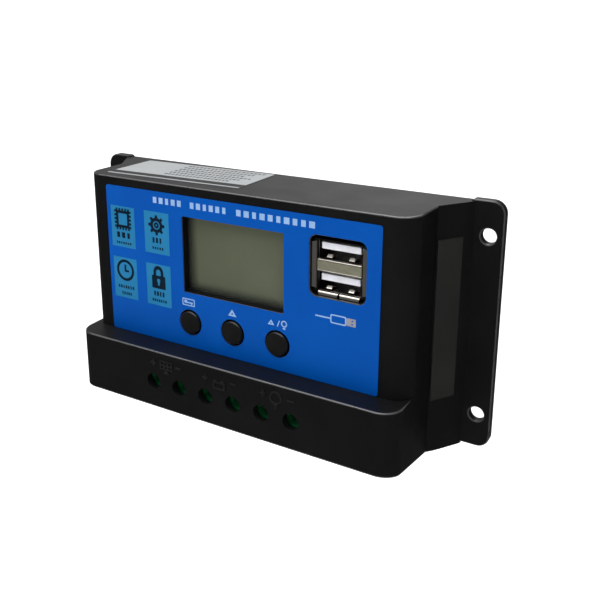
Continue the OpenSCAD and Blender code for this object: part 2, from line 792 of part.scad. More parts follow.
// The microcontroller and the chip parts beside it lie on the board's back, near its top edge
module microcontroller() {
    chip_t = 1.4;
    color([0.12, 0.12, 0.12]) slab(0, chip_z, chip_w, chip_w, board_back - chip_t, board_back);
}

module chip_parts() {
    size = [2, 1.25, 0.6];
    pitch = [4.5, 5];
    color([0.6, 0.5, 0.35]) for (s = [-1, 1], column = [0:3], row = [-0.5, 0.5])
        slab(s * (chip_w / 2 + (column + 0.8) * pitch[0]), chip_z + row * pitch[1], size[0], size[1],
             board_back - size[2], board_back);
}

// The shunt resistor lies on the board's back, above the terminals' solder pins
module shunt_resistor() {
    size = [12, 2.4, 1.5];
    color([0.4, 0.4, 0.42])
        slab(0, leg_z + bar_t / 2 + fit_gap + part_space / 2 + size[1] / 2, size[0], size[1],
             board_back - size[2], board_back);
}

front_housing();
rear_cover();
cover_screws();
front_label();
rating_label();
side_label();
lcd_glass();
lcd_backlight();
lcd_holder();
lcd_pins();
circuit_board();
board_screws();
tact_switches();
button_cap(0);  // button_cap_1
button_cap(1);  // button_cap_2
button_cap(2);  // button_cap_3
switch_plunger(0);  // switch_plunger_1
switch_plunger(1);  // switch_plunger_2
switch_plunger(2);  // switch_plunger_3
usb_shell();
usb_insulator();
usb_contacts();
terminal_block();
terminal_bars();
terminal_screw(0);  // terminal_screw_1
terminal_screw(1);  // terminal_screw_2
terminal_screw(2);  // terminal_screw_3
terminal_screw(3);  // terminal_screw_4
terminal_screw(4);  // terminal_screw_5
terminal_screw(5);  // terminal_screw_6
clamp_cage(0);  // clamp_cage_1
clamp_cage(1);  // clamp_cage_2
clamp_cage(2);  // clamp_cage_3
clamp_cage(3);  // clamp_cage_4
clamp_cage(4);  // clamp_cage_5
clamp_cage(5);  // clamp_cage_6
power_transistors();
thermal_pads();
heat_spreader();
capacitors();
inductor();
regulator_chip();
diode();
microcontroller();
chip_parts();
shunt_resistor();
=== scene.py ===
# %% [markdown]
# # A solar charge controller for a wall
#
# The real thing is a moulded black case with four wall screws, a display behind a blue printed
# film, three push buttons, a double USB socket and a row of screw terminals behind a ledge.
# Its working model comes in as a fixed frame of separate parts. This lesson builds the looks
# around those parts: each new piece is a surface worked out with numpy, and each takes its
# place from the frame, so nothing has to be fitted afterwards.

# %% Load the frame
import json
import math

import bmesh
import bpy
import numpy as np
from mathutils import Matrix, Vector
from mathutils.geometry import tessellate_polygon


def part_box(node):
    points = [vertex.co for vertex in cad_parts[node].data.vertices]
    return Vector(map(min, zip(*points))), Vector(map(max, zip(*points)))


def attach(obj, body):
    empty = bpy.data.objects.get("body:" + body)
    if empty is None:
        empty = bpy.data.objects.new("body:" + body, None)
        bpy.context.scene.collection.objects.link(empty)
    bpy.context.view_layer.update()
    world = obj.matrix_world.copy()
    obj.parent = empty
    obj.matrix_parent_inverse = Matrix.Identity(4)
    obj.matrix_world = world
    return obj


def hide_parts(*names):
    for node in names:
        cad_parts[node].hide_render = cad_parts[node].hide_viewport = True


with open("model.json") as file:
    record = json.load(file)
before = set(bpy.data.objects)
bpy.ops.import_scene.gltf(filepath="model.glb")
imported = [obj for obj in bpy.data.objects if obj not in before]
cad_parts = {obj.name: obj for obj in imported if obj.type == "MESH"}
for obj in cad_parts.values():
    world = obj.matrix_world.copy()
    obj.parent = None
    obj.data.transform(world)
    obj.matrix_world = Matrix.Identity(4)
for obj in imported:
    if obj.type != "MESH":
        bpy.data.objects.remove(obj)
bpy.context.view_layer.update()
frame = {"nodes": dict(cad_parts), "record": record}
nodes = frame["nodes"]
MM = 0.001


# %% [markdown]
# ## Camera, light and floor
#
# A small object like this is seen a little from the right and a little from above, from about a
# quarter of a metre, with a normal lens. A camera could be aimed with a constraint, but here it
# is a position, a turn, a tilt and a tiny roll, multiplied in that order, so each can be changed
# alone. A small vertical shift does what a shift lens does: it moves the picture, not the view.

# %% Camera
camera_at = Vector((0.11794, -0.1936, 0.08135))
camera_turn, camera_tilt, camera_roll = 30.15, 15.05, 0.3

camera_data = bpy.data.cameras.new("camera")
camera_data.lens = 47.03
camera_data.sensor_width = 36
camera_data.shift_y = -0.1333
camera_data.clip_start = 0.005
camera = bpy.data.objects.new("camera", camera_data)
bpy.context.scene.collection.objects.link(camera)
camera.matrix_world = (
    Matrix.Translation(camera_at)
    @ Matrix.Rotation(math.radians(camera_turn), 4, "Z")
    @ Matrix.Rotation(math.radians(90 - camera_tilt), 4, "X")
    @ Matrix.Rotation(math.radians(camera_roll), 4, "Z")
)
bpy.context.scene.camera = camera
print("camera", round(camera_at.length, 3), "m from the middle of the wall plane")


# %% [markdown]
# ## Studio light
#
# Large soft lamps do what a studio does: a ceiling of light, a card behind that gives the top
# face its sheen, a weak fill from the front for the printed film, and one for the back. One
# bright sky would light everything evenly and flatten black plastic, so the sky that the camera
# sees is bright, and the sky that lights the object is dim.

# %% Lamps and sky
def soft_lamp(name, place, aim, width, height, power):
    """A rectangular lamp at place that shines towards aim."""
    data = bpy.data.lights.new(name, "AREA")
    data.shape = "RECTANGLE"
    data.size, data.size_y, data.energy = width, height, power
    lamp = bpy.data.objects.new(name, data)
    bpy.context.scene.collection.objects.link(lamp)
    lamp.location = place
    lamp.rotation_euler = (Vector(aim) - Vector(place)).to_track_quat("-Z", "Y").to_euler()
    return lamp


soft_lamp("ceiling", (-0.15, -0.3, 1.5), (0, 0, 0), 2.2, 2.0, 42)
soft_lamp("back_card", (-0.7, 1.2, 0.4), (0, 0, 0.02), 1.3, 0.5, 1.3)
soft_lamp("front_fill", (-0.35, -1.1, 0.95), (0, 0, 0), 0.8, 0.8, 3)
soft_lamp("rear_fill", (-0.5, 1.5, 1.3), (0, 0, 0), 0.8, 0.8, 6)


def two_skies(seen, cast):
    """A world that shows the strength seen to the camera and lights the object with cast."""
    world = bpy.data.worlds.new("sky")
    world.use_nodes = True
    tree = world.node_tree
    background = tree.nodes["Background"]
    background.inputs["Color"].default_value = (0.97, 0.98, 1, 1)
    rays = tree.nodes.new("ShaderNodeLightPath")
    strength = tree.nodes.new("ShaderNodeMapRange")
    strength.inputs["To Min"].default_value = cast
    strength.inputs["To Max"].default_value = seen
    tree.links.new(rays.outputs["Is Camera Ray"], strength.inputs["Value"])
    tree.links.new(strength.outputs["Result"], background.inputs["Strength"])
    return world


bpy.context.scene.world = two_skies(seen=1.2, cast=0.08)
bpy.context.scene.view_settings.view_transform = "Standard"
print("four lamps, a bright sky to look at and a dim one to light with")


# %% [markdown]
# ## Turning arrays into pieces
#
# Every surface below is an array of points and a list of faces. One function makes the Blender
# object, hands it to the body that it moves with, and smooths it everywhere but at real edges.
# Working in whole arrays keeps each shape a short formula that can be read and changed.

# %% Piece and grid helpers
def make_piece(name, points, faces, body="casing", crease=35, merge=1e-6):
    """A mesh object from points in metres. Doubles are merged, and edges over crease stay sharp."""
    mesh = bpy.data.meshes.new(name)
    mesh.from_pydata(np.asarray(points, float).tolist(), [], [list(map(int, f)) for f in faces])
    shape = bmesh.new()
    shape.from_mesh(mesh)
    bmesh.ops.remove_doubles(shape, verts=shape.verts, dist=merge)
    bmesh.ops.dissolve_degenerate(shape, dist=merge / 10, edges=shape.edges)
    bmesh.ops.recalc_face_normals(shape, faces=shape.faces)
    shape.to_mesh(mesh)
    shape.free()
    return finish_piece(name, mesh, body, crease)


def finish_piece(name, mesh, body, crease):
    """Links a finished mesh as a piece that rides on body. No crease: its sharp edges are marked."""
    mesh.polygons.foreach_set("use_smooth", [True] * len(mesh.polygons))
    if crease is not None:
        mesh.set_sharp_from_angle(angle=math.radians(crease))
    piece = bpy.data.objects.new(name, mesh)
    bpy.context.scene.collection.objects.link(piece)
    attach(piece, body)
    return piece


def grid_faces(rows, columns, wrap=False, start=0):
    """Quads between neighbouring points of a grid numbered row by row. wrap closes each row."""
    row = np.arange(rows - 1)[:, None]
    column = np.arange(columns if wrap else columns - 1)[None, :]
    beside = (column + 1) % columns
    quads = [row * columns + column, row * columns + beside,
             (row + 1) * columns + beside, (row + 1) * columns + column]
    return (np.stack(quads, -1).reshape(-1, 4) + start).tolist()


def box_of(node):
    """Lowest and highest corner of a part of the frame, in millimetres."""
    low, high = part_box(node)
    return np.array(low) / MM, np.array(high) / MM


case_low, case_high = box_of("front_housing")
print("casing from", np.round(case_low, 2), "to", np.round(case_high, 2))


# %% [markdown]
# ## Finishes
#
# Every material starts from the same two effects, so they are node groups. **Uneven tone**
# mixes two near colours and two near roughnesses by a cloudy noise, because no moulded or
# plated surface is one flat colour. **Fine grain** makes a tiny bump: round for moulded
# plastic, or stretched along one direction for drawn and brushed metal. A third group, **Edge
# shade**, darkens one side and the foot of a flat panel. The nodes could be copied into every
# material, but a group is built once, and each material gives it its own values.

# %% Node group helpers
def new_group(name, inputs, outputs):
    """A shader node group with the named sockets. Each socket is a name, a kind and a value."""
    group = bpy.data.node_groups.new(name, "ShaderNodeTree")
    for label, kind, value in inputs:
        socket = group.interface.new_socket(label, in_out="INPUT", socket_type="NodeSocket" + kind)
        if value is not None:
            socket.default_value = value
    for label, kind in outputs:
        group.interface.new_socket(label, in_out="OUTPUT", socket_type="NodeSocket" + kind)
    return group, group.nodes.new("NodeGroupInput"), group.nodes.new("NodeGroupOutput")


print("blender", bpy.app.version_string)

# %% Uneven tone
def build_uneven_tone():
    """Colour and roughness that drift between two values over a cloudy noise."""
    group, source, result = new_group(
        "Uneven tone",
        [("Colour", "Color", (0.5, 0.5, 0.5, 1)), ("Second colour", "Color", (0.4, 0.4, 0.4, 1)),
         ("Roughness", "Float", 0.5), ("Second roughness", "Float", 0.6), ("Scale", "Float", 80.0)],
        [("Colour", "Color"), ("Roughness", "Float")])
    link = group.links.new
    place = group.nodes.new("ShaderNodeTexCoord")
    cloud = group.nodes.new("ShaderNodeTexNoise")
    cloud.inputs["Detail"].default_value = 6
    link(place.outputs["Object"], cloud.inputs["Vector"])
    link(source.outputs["Scale"], cloud.inputs["Scale"])
    spread = group.nodes.new("ShaderNodeMapRange")
    spread.inputs["From Min"].default_value = 0.35
    spread.inputs["From Max"].default_value = 0.65
    link(cloud.outputs["Fac"], spread.inputs["Value"])
    colour = group.nodes.new("ShaderNodeMix")
    colour.data_type = "RGBA"
    rough = group.nodes.new("ShaderNodeMix")
    link(spread.outputs["Result"], colour.inputs["Factor"])
    link(spread.outputs["Result"], rough.inputs["Factor"])
    link(source.outputs["Colour"], colour.inputs["A"])
    link(source.outputs["Second colour"], colour.inputs["B"])
    link(source.outputs["Roughness"], rough.inputs["A"])
    link(source.outputs["Second roughness"], rough.inputs["B"])
    link(colour.outputs["Result"], result.inputs["Colour"])
    link(rough.outputs["Result"], result.inputs["Roughness"])
    return group


uneven_tone = build_uneven_tone()
print("group:", uneven_tone.name)

# %% Fine grain
def build_fine_grain():
    """A bump from a small noise, which the stretch squeezes or draws out along each axis."""
    group, source, result = new_group(
        "Fine grain",
        [("Scale", "Float", 3000.0), ("Stretch", "Vector", (1, 1, 1)), ("Strength", "Float", 0.3),
         ("Depth", "Float", 0.00003)],
        [("Normal", "Vector")])
    link = group.links.new
    place = group.nodes.new("ShaderNodeTexCoord")
    stretch = group.nodes.new("ShaderNodeVectorMath")
    stretch.operation = "MULTIPLY"
    link(place.outputs["Object"], stretch.inputs[0])
    link(source.outputs["Stretch"], stretch.inputs[1])
    noise = group.nodes.new("ShaderNodeTexNoise")
    noise.inputs["Detail"].default_value = 3
    link(stretch.outputs["Vector"], noise.inputs["Vector"])
    link(source.outputs["Scale"], noise.inputs["Scale"])
    bump = group.nodes.new("ShaderNodeBump")
    link(noise.outputs["Fac"], bump.inputs["Height"])
    link(source.outputs["Strength"], bump.inputs["Strength"])
    link(source.outputs["Depth"], bump.inputs["Distance"])
    link(bump.outputs["Normal"], result.inputs["Normal"])
    return group


fine_grain = build_fine_grain()
print("group:", fine_grain.name)

# %% Edge shade
def build_edge_shade():
    """A mask that rises smoothly from 0 at the Left and the Foot of a panel to 1 a Width away."""
    group, source, result = new_group(
        "Edge shade",
        [("Left", "Float", 0.0), ("Foot", "Float", 0.0), ("Width", "Float", 0.003)],
        [("Mask", "Float")])
    link = group.links.new
    place = group.nodes.new("ShaderNodeTexCoord")
    axes = group.nodes.new("ShaderNodeSeparateXYZ")
    both = group.nodes.new("ShaderNodeMath")
    both.operation = "MULTIPLY"
    link(place.outputs["Object"], axes.inputs["Vector"])
    for i, (axis, edge) in enumerate((("X", "Left"), ("Z", "Foot"))):
        far = group.nodes.new("ShaderNodeMath")
        link(source.outputs[edge], far.inputs[0])
        link(source.outputs["Width"], far.inputs[1])
        rise = group.nodes.new("ShaderNodeMapRange")
        rise.interpolation_type = "SMOOTHSTEP"
        link(axes.outputs[axis], rise.inputs["Value"])
        link(source.outputs[edge], rise.inputs["From Min"])
        link(far.outputs["Value"], rise.inputs["From Max"])
        link(rise.outputs["Result"], both.inputs[i])
    link(both.outputs["Value"], result.inputs["Mask"])
    return group


edge_shade = build_edge_shade()
print("group:", edge_shade.name)


# %% [markdown]
# ## One material for each finish
#
# A finish is a Principled shader with the first two groups in front of it. Some thirty materials
# built node by node would hide how they differ, so one function builds them all, and the table
# below holds the colours, the roughness and the size of the grain. A value that is the same all
# over the surface, such as a metal's Metallic, goes straight to the shader's own socket.

# %% A finish from two of the groups
def finish(name, colour, second, rough=(0.4, 0.5), cloud=80.0, grain=3000.0, stretch=(1, 1, 1),
           depth=0.00002, strength=0.3, **sockets):
    """A material: Principled with uneven tone and fine grain. sockets are its plain values."""
    material = bpy.data.materials.new(name)
    material.use_nodes = True
    tree = material.node_tree
    shader = tree.nodes["Principled BSDF"]
    tone = tree.nodes.new("ShaderNodeGroup")
    tone.node_tree = uneven_tone
    tone.inputs["Colour"].default_value = (*colour, 1)
    tone.inputs["Second colour"].default_value = (*second, 1)
    tone.inputs["Roughness"].default_value, tone.inputs["Second roughness"].default_value = rough
    tone.inputs["Scale"].default_value = cloud
    bump = tree.nodes.new("ShaderNodeGroup")
    bump.node_tree = fine_grain
    bump.inputs["Scale"].default_value = grain
    bump.inputs["Stretch"].default_value = stretch
    bump.inputs["Depth"].default_value = depth
    bump.inputs["Strength"].default_value = strength
    tree.links.new(tone.outputs["Colour"], shader.inputs["Base Color"])
    tree.links.new(tone.outputs["Roughness"], shader.inputs["Roughness"])
    tree.links.new(bump.outputs["Normal"], shader.inputs["Normal"])
    for label, value in sockets.items():
        shader.inputs[label.replace("_", " ")].default_value = value
    material.diffuse_color = (*colour, 1)
    return material


# %% The finishes
METAL = {"Metallic": 1.0}
LOW_GLOSS = {"Specular_IOR_Level": 0.3}
finishes = {
    # plastics: moulded with a fine spark-eroded grain
    "casing_plastic": finish("casing_plastic", (0.0042, 0.0044, 0.0046), (0.0056, 0.0057, 0.0058),
                             (0.42, 0.5), 60, 2600, depth=0.00002, strength=0.25,
                             Specular_IOR_Level=0.25),
    # the raised signs: lighter than the casing, a painted highlight on their edges
    "sign_plastic": finish("sign_plastic", (0.009, 0.009, 0.0095), (0.013, 0.013, 0.013), (0.34, 0.42),
                           200, 2600, depth=0.00001, Specular_IOR_Level=0.5),
    # the rounded edges' finish: glossier, and lighter than the casing as a painted highlight
    "edge_highlight_plastic": finish("edge_highlight_plastic", (0.035, 0.035, 0.036), (0.05, 0.05, 0.05), (0.26, 0.34), 300,
                          2600, depth=0.00001, Specular_IOR_Level=1.0),
    "button_plastic": finish("button_plastic", (0.005, 0.005, 0.005), (0.008, 0.0075, 0.007),
                             (0.3, 0.36), 200, 5000, depth=0.00001),
    "switch_plastic": finish("switch_plastic", (0.02, 0.02, 0.02), (0.03, 0.03, 0.03), (0.5, 0.6)),
    "holder_plastic": finish("holder_plastic", (0.78, 0.78, 0.74), (0.7, 0.7, 0.66), (0.45, 0.55)),
    "tongue_plastic": finish("tongue_plastic", (0.78, 0.79, 0.84), (0.7, 0.71, 0.76), (0.3, 0.4),
                             300, 4000, depth=0.00001),
    "green_plastic": finish("green_plastic", (0.008, 0.2, 0.06), (0.006, 0.15, 0.045), (0.35, 0.45),
                            120, 3500),
    "light_guide": finish("light_guide", (0.8, 0.86, 0.86), (0.74, 0.8, 0.8), (0.25, 0.35)),
    "display_glass": finish("display_glass", (0.085, 0.095, 0.06), (0.1, 0.11, 0.072), (0.12, 0.16), 40,
                            2000, depth=0.000002, Coat_Weight=0.6, Coat_Roughness=0.05),
    # films and inks
    "blue_film": finish("blue_film", (0.0, 0.075, 0.37), (0.0, 0.064, 0.33), (0.34, 0.4), 30,
                        6000, depth=0.000006, strength=0.2, Specular_IOR_Level=0.04),
    "tile_ink": finish("tile_ink", (0.012, 0.17, 0.36), (0.01, 0.155, 0.33), (0.38, 0.44), 90, 6000,
                       depth=0.000004, Specular_IOR_Level=0.1),
    "dark_ink": finish("dark_ink", (0.0015, 0.01, 0.022), (0.0025, 0.013, 0.027), (0.4, 0.5), 150, 6000,
                       depth=0.000004, Specular_IOR_Level=0.1),
    "pale_ink": finish("pale_ink", (0.26, 0.42, 0.68), (0.22, 0.38, 0.64), (0.4, 0.5), 150, 6000,
                       depth=0.000004),
    "grey_ink": finish("grey_ink", (0.2, 0.2, 0.24), (0.26, 0.26, 0.3), (0.4, 0.5), 200, 6000,
                       depth=0.000004),
    "white_film": finish("white_film", (0.38, 0.395, 0.4), (0.35, 0.37, 0.38), (0.4, 0.5), 60, 5000,
                         depth=0.000006, **LOW_GLOSS),
    "sticker_ink": finish("sticker_ink", (0.03, 0.03, 0.035), (0.045, 0.045, 0.05), (0.4, 0.5), 200,
                          6000, depth=0.000004, **LOW_GLOSS),
    "dark_film": finish("dark_film", (0.018, 0.0185, 0.016), (0.014, 0.0145, 0.0125), (0.3, 0.38), 60, 4000,
                        depth=0.00001),
    "board_laminate": finish("board_laminate", (0.006, 0.1, 0.035), (0.008, 0.13, 0.045), (0.25, 0.35),
                             150, 1500),
    # metals
    # shell_steel: the plated steel of bright_steel darkened, painted shade for the shell's inside
    "shell_steel": finish("shell_steel", (0.08, 0.076, 0.07), (0.06, 0.058, 0.054), (0.35, 0.45), 250,
                          1800, (0.12, 1, 1), 0.00001, **METAL),
    "bright_steel": finish("bright_steel", (0.78, 0.74, 0.66), (0.66, 0.62, 0.55), (0.28, 0.38), 250,
                           1800, (0.12, 1, 1), 0.00001, **METAL),
    "folded_steel": finish("folded_steel", (0.27, 0.26, 0.185), (0.22, 0.215, 0.155), (0.3, 0.4), 250,
                           1800, (0.12, 1, 1), 0.00001, Metallic=0.35),
    "screw_steel": finish("screw_steel", (0.5, 0.5, 0.52), (0.42, 0.42, 0.44), (0.3, 0.4), 300, 3000,
                          **METAL),
    "screw_zinc": finish("screw_zinc", (0.66, 0.66, 0.68), (0.55, 0.56, 0.6), (0.28, 0.38), 300, 3000,
                         **METAL),
    "tinned_copper": finish("tinned_copper", (0.7, 0.69, 0.66), (0.6, 0.59, 0.57), (0.25, 0.35), 300,
                            2500, (1, 0.15, 1), **METAL),
    "tinned_pins": finish("tinned_pins", (0.7, 0.7, 0.7), (0.6, 0.6, 0.6), (0.3, 0.4), 300, 3000,
                          **METAL),
    "contact_brass": finish("contact_brass", (0.85, 0.6, 0.25), (0.75, 0.5, 0.2), (0.2, 0.3), 300,
                            3000, **METAL),
    "spreader_aluminium": finish("spreader_aluminium", (0.72, 0.73, 0.75), (0.62, 0.63, 0.65),
                                 (0.3, 0.42), 100, 900, (0.06, 1, 1), 0.00002, **METAL),
    "resistor_alloy": finish("resistor_alloy", (0.3, 0.29, 0.28), (0.24, 0.23, 0.22), (0.4, 0.5),
                             **METAL),
    # other materials of the inner parts
    "epoxy": finish("epoxy", (0.014, 0.014, 0.014), (0.02, 0.02, 0.02), (0.5, 0.6), 200, 2500,
                    depth=0.00003),
    "pad_rubber": finish("pad_rubber", (0.28, 0.34, 0.46), (0.24, 0.3, 0.4), (0.7, 0.8), 150, 900),
    "capacitor_sleeve": finish("capacitor_sleeve", (0.01, 0.014, 0.05), (0.014, 0.02, 0.07),
                               (0.2, 0.3)),
    "ferrite": finish("ferrite", (0.04, 0.04, 0.042), (0.06, 0.06, 0.06), (0.55, 0.7), 200, 1200),
    "ceramic": finish("ceramic", (0.42, 0.28, 0.13), (0.36, 0.24, 0.11), (0.35, 0.45), 400, 3000),
}
print(len(finishes), "finishes")


# %% Paint helper
def paint(piece, name):
    """Gives the whole piece one finish."""
    piece.data.materials.clear()
    piece.data.materials.append(finishes[name])
    return piece


# %% [markdown]
# ## Floor
#
# The controller hangs on a wall, so nothing stands on the floor. It only gives a pale ground
# and throws soft light up at the underside. A single square would do, but a shallow bowl whose
# rim curls up like a studio's paper roll hides the horizon from every side.

# %% Floor
def paper_roll(radius=1.7, rings=24, spokes=48, height=-0.3):
    """Points at distance r and angle a: flat inside half the radius, then rising as r squared."""
    r = np.linspace(0, radius, rings)[:, None]
    a = np.linspace(0, 2 * math.pi, spokes, endpoint=False)[None, :]
    rise = np.clip(r - radius / 2, 0, None) ** 2 * 0.8
    points = np.stack(np.broadcast_arrays(r * np.cos(a), r * np.sin(a), height + rise), -1)
    return points.reshape(-1, 3), grid_faces(rings, spokes, wrap=True)


floor_mesh = bpy.data.meshes.new("floor")
floor_points, floor_quads = paper_roll()
floor_mesh.from_pydata(floor_points.tolist(), [], floor_quads)
floor_mesh.polygons.foreach_set("use_smooth", [True] * len(floor_mesh.polygons))
floor = bpy.data.objects.new("floor", floor_mesh)
bpy.context.scene.collection.objects.link(floor)
floor.visible_glossy = False
floor_mesh.materials.append(finish("pale_paper", (0.93, 0.93, 0.93), (0.91, 0.91, 0.91), (0.8, 0.9),
                                   2, 400, depth=0.0001, strength=0.05,
                                   Emission_Color=(1, 1, 1, 1), Emission_Strength=0.3))
print("floor", round(-floor_points[:, 2].min(), 2), "m below the wall screws' middle")


# %% [markdown]
# ## The moulded housing
#
# The housing is one injection-moulded shell. Its real edges are never sharp: the tool leaves a
# small radius that catches a thin line of light, and that line is what makes the shape read.
# A Bevel modifier on the whole part would also round hundreds of hidden edges, so the copy of
# the CAD shell gets rounded edges only where rules written in the casing's own planes pick
# them: the front edges, the ledge, the ears, the underside and the rims of the openings. The
# strips that the bevel makes get a glossier finish whose lighter colour is a painted highlight.

# %% Rounding chosen edges of a copied part
TINY_TURN = 0.3  # degrees: an edge that turns less is only a seam between triangles
REAL_EDGE = 0.4  # radians: an edge that turns more may be rounded


def rounded_copy(node, rules, plain, highlighted, body="casing", crease=28):
    """A copy of a CAD part. Each rule is a test on an edge's two ends in mm, a radius, steps, and
    1 if the new strip takes the glossier edge finish, whose lighter colour is a painted highlight."""
    shape = bmesh.new()
    shape.from_mesh(nodes[node].data)
    bmesh.ops.remove_doubles(shape, verts=shape.verts, dist=2e-7)
    bmesh.ops.dissolve_limit(shape, angle_limit=math.radians(TINY_TURN), verts=shape.verts,
                             edges=shape.edges)
    for test, radius, steps, highlight in rules:
        edges = [e for e in shape.edges if e.is_manifold and e.calc_face_angle_signed(0) > REAL_EDGE]
        ends = np.array([[v.co[:] for v in e.verts] for e in edges]).reshape(-1, 2, 3) / MM
        picked = [e for e, hit in zip(edges, test(ends)) if hit]
        bmesh.ops.bevel(shape, geom=picked, offset=radius * MM, offset_type="OFFSET",
                        segments=steps, profile=0.5, affect="EDGES", clamp_overlap=False,
                        material=highlight)
    keep_flats_flat(shape, crease)
    bmesh.ops.triangulate(shape, faces=[f for f in shape.faces if len(f.verts) > 4])
    mesh = bpy.data.meshes.new(node + "_rounded")
    shape.to_mesh(mesh)
    shape.free()
    mesh.materials.append(finishes[plain])
    mesh.materials.append(finishes[highlighted])
    piece = finish_piece(node + "_rounded", mesh, body, None)
    smooth = piece.modifiers.new("flat_faces_stay_flat", "WEIGHTED_NORMAL")
    smooth.keep_sharp = True
    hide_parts(node)
    return piece


def keep_flats_flat(shape, crease, large=60.0, bend=1.5):
    """Marks an edge sharp if it bends more than crease, or at all beside a face of large mm2."""
    for edge in shape.edges:
        if len(edge.link_faces) == 2:
            angle = math.degrees(edge.calc_face_angle(0))
            beside = max(face.calc_area() for face in edge.link_faces) / MM ** 2
            edge.smooth = angle < crease and not (beside > large and angle > bend)


print("edges that turn by over", REAL_EDGE, "radians may be rounded")

# %% Tests on edges
def on_plane(ends, axis, value, play=0.02):
    """True where both ends of an edge lie on the plane where that coordinate has that value."""
    return np.all(np.abs(ends[:, :, axis] - value) < play, axis=1)


def inside(ends, axis, low, high):
    """True where both ends lie between two values of a coordinate."""
    return np.all((ends[:, :, axis] > low) & (ends[:, :, axis] < high), axis=1)


X, Y, Z = 0, 1, 2
label_low, label_high = box_of("front_label")
panel_y = label_high[Y]
ledge_y, foot_z = case_low[Y], case_low[Z]
ledge_z = label_low[Z] - 0.15  # the ledge's top edge, just below the film
ledge_rim_y = -22  # the ledge's rim lies in front of this
top_z = 34.15  # the top face, a little below the ears' upper edge
ear_y, ear_x = -2.4, 58.25  # the ears' front face, and where it begins
driver_band = (-30, -18)  # the screwdriver holes lie between these heights
rise_from, full_rise = 11.6, 3.8  # the underside rises this much from that depth to the front
print("panel at", round(panel_y, 2), "ledge at", round(ledge_y, 2), "ledge top", round(ledge_z, 2))


def outer_top(ends):
    """Edges of the top face, from the panel to the ears."""
    return on_plane(ends, Z, top_z) & inside(ends, Y, panel_y - 1, ear_y - 0.05)


def ledge_rim(ends):
    """Edges of the ledge's top."""
    return on_plane(ends, Z, ledge_z) & inside(ends, Y, ledge_y - 1, ledge_rim_y)


def panel_rims(ends):
    """Rims of the openings in the panel: edges that lie in its front face."""
    return on_plane(ends, Y, panel_y) & inside(ends, Z, ledge_z + 1, top_z - 1)


def driver_rims(ends):
    """Rims of the screwdriver holes in the ledge."""
    return on_plane(ends, Y, ledge_y) & inside(ends, Z, *driver_band)


def underside_rim(ends):
    """Edges of the underside: flat at the back, then rising in a straight line to the front."""
    share = np.clip(-ends[:, :, Y] - rise_from, 0, None) / (-ledge_y - rise_from)
    near = np.all(np.abs(ends[:, :, Z] - (foot_z + full_rise * share)) < 0.03, axis=1)
    return near & inside(ends, Y, ledge_y - 1, ear_y - 0.05)


def ear_rims(ends):
    """Edges of the ears' front face, and the rims of their holes."""
    return on_plane(ends, Y, ear_y) & np.all(np.abs(ends[:, :, X]) > ear_x, axis=1)


# %% Housing: each rule is a test, a radius in mm, steps, and 1 where the strip takes the painted highlight
housing = rounded_copy("front_housing", [
    (outer_top, 0.4, 3, 1),
    (ledge_rim, 0.4, 3, 1),
    (underside_rim, 0.5, 3, 1),
    (ear_rims, 0.35, 2, 1),
    (panel_rims, 0.25, 2, 1),
    (driver_rims, 0.2, 2, 0),
], "casing_plastic", "edge_highlight_plastic")
print("housing", len(housing.data.polygons), "faces")


# %% [markdown]
# ## Cut sheets
#
# The printed film, its inks, the stickers and the raised signs over the terminals are one kind
# of shape: a flat outline, perhaps with holes, given a small thickness. A 2-D curve would fill
# such outlines too, but it has to be converted. Here an outline is an array of (u, v) points, so
# a rounded corner, a ring or a gear is one line of arithmetic, and every sheet is closed.

# %% Outlines
def rounded(u, v, width, height, radius, steps=6):
    """Rectangle about (u, v): each corner is an arc about a point radius inside both sides."""
    turn = np.radians(np.arange(4)[:, None] * 90 + np.linspace(0, 90, steps)[None, :])
    corner = np.array([[1, 1], [-1, 1], [-1, -1], [1, -1]]) * [width / 2 - radius, height / 2 - radius]
    points = corner[:, None, :] + radius * np.stack([np.cos(turn), np.sin(turn)], -1)
    return points.reshape(-1, 2) + [u, v]


def bar(u, v, width, height):
    """Plain rectangle about (u, v)."""
    return np.array([[-0.5, -0.5], [0.5, -0.5], [0.5, 0.5], [-0.5, 0.5]]) * [width, height] + [u, v]


def circle(u, v, radius, steps=32):
    """Points at equal angles about (u, v)."""
    turn = np.linspace(0, 2 * math.pi, steps, endpoint=False)
    return np.stack([u + radius * np.cos(turn), v + radius * np.sin(turn)], -1)


def gear(u, v, inner, outer, teeth):
    """Circle whose radius steps between inner and outer, four points to a tooth."""
    part = np.arange(teeth)[:, None] + np.array([-0.27, -0.17, 0.17, 0.27])[None, :]
    turn = part * 2 * math.pi / teeth
    radius = np.broadcast_to(np.array([inner, outer, outer, inner]), turn.shape)
    return np.stack([u + radius * np.cos(turn), v + radius * np.sin(turn)], -1).reshape(-1, 2)


def turned_by(outline, angle, about):
    """The outline turned by an angle in degrees about a point."""
    c, s = math.cos(math.radians(angle)), math.sin(math.radians(angle))
    return (outline - about) @ np.array([[c, s], [-s, c]]) + about


print("a gear of 8 teeth has", len(gear(0, 0, 1, 2, 8)), "points")

# %% Sheets, and how they are laid in place
def sheet(outline, holes=(), thick=0.03, base=0.0):
    """Each (u, v) of the outline and holes stands at base and at base + thick; walls join them."""
    loops = [np.asarray(loop, float) for loop in (outline, *holes)]
    flat = np.concatenate(loops)
    count = len(flat)
    top = np.column_stack([flat, np.full(count, base + thick)])
    low = np.column_stack([flat, np.full(count, base)])
    filled = tessellate_polygon([np.pad(loop, ((0, 0), (0, 1))).tolist() for loop in loops])
    faces = [list(t) for t in filled] + [[i + count for i in reversed(t)] for t in filled]
    start = 0
    for loop in loops:
        here = np.arange(len(loop)) + start
        after = np.roll(here, -1)
        faces += np.stack([here, after, after + count, here + count], -1).tolist()
        start += len(loop)
    return np.concatenate([top, low]), faces


def join(shapes):
    """Several (points, faces) as one: each shape's faces are moved on by the points before it."""
    points, faces, start = [], [], 0
    for some_points, some_faces in shapes:
        points.append(some_points)
        faces += [[i + start for i in face] for face in some_faces]
        start += len(some_points)
    return np.concatenate(points), faces


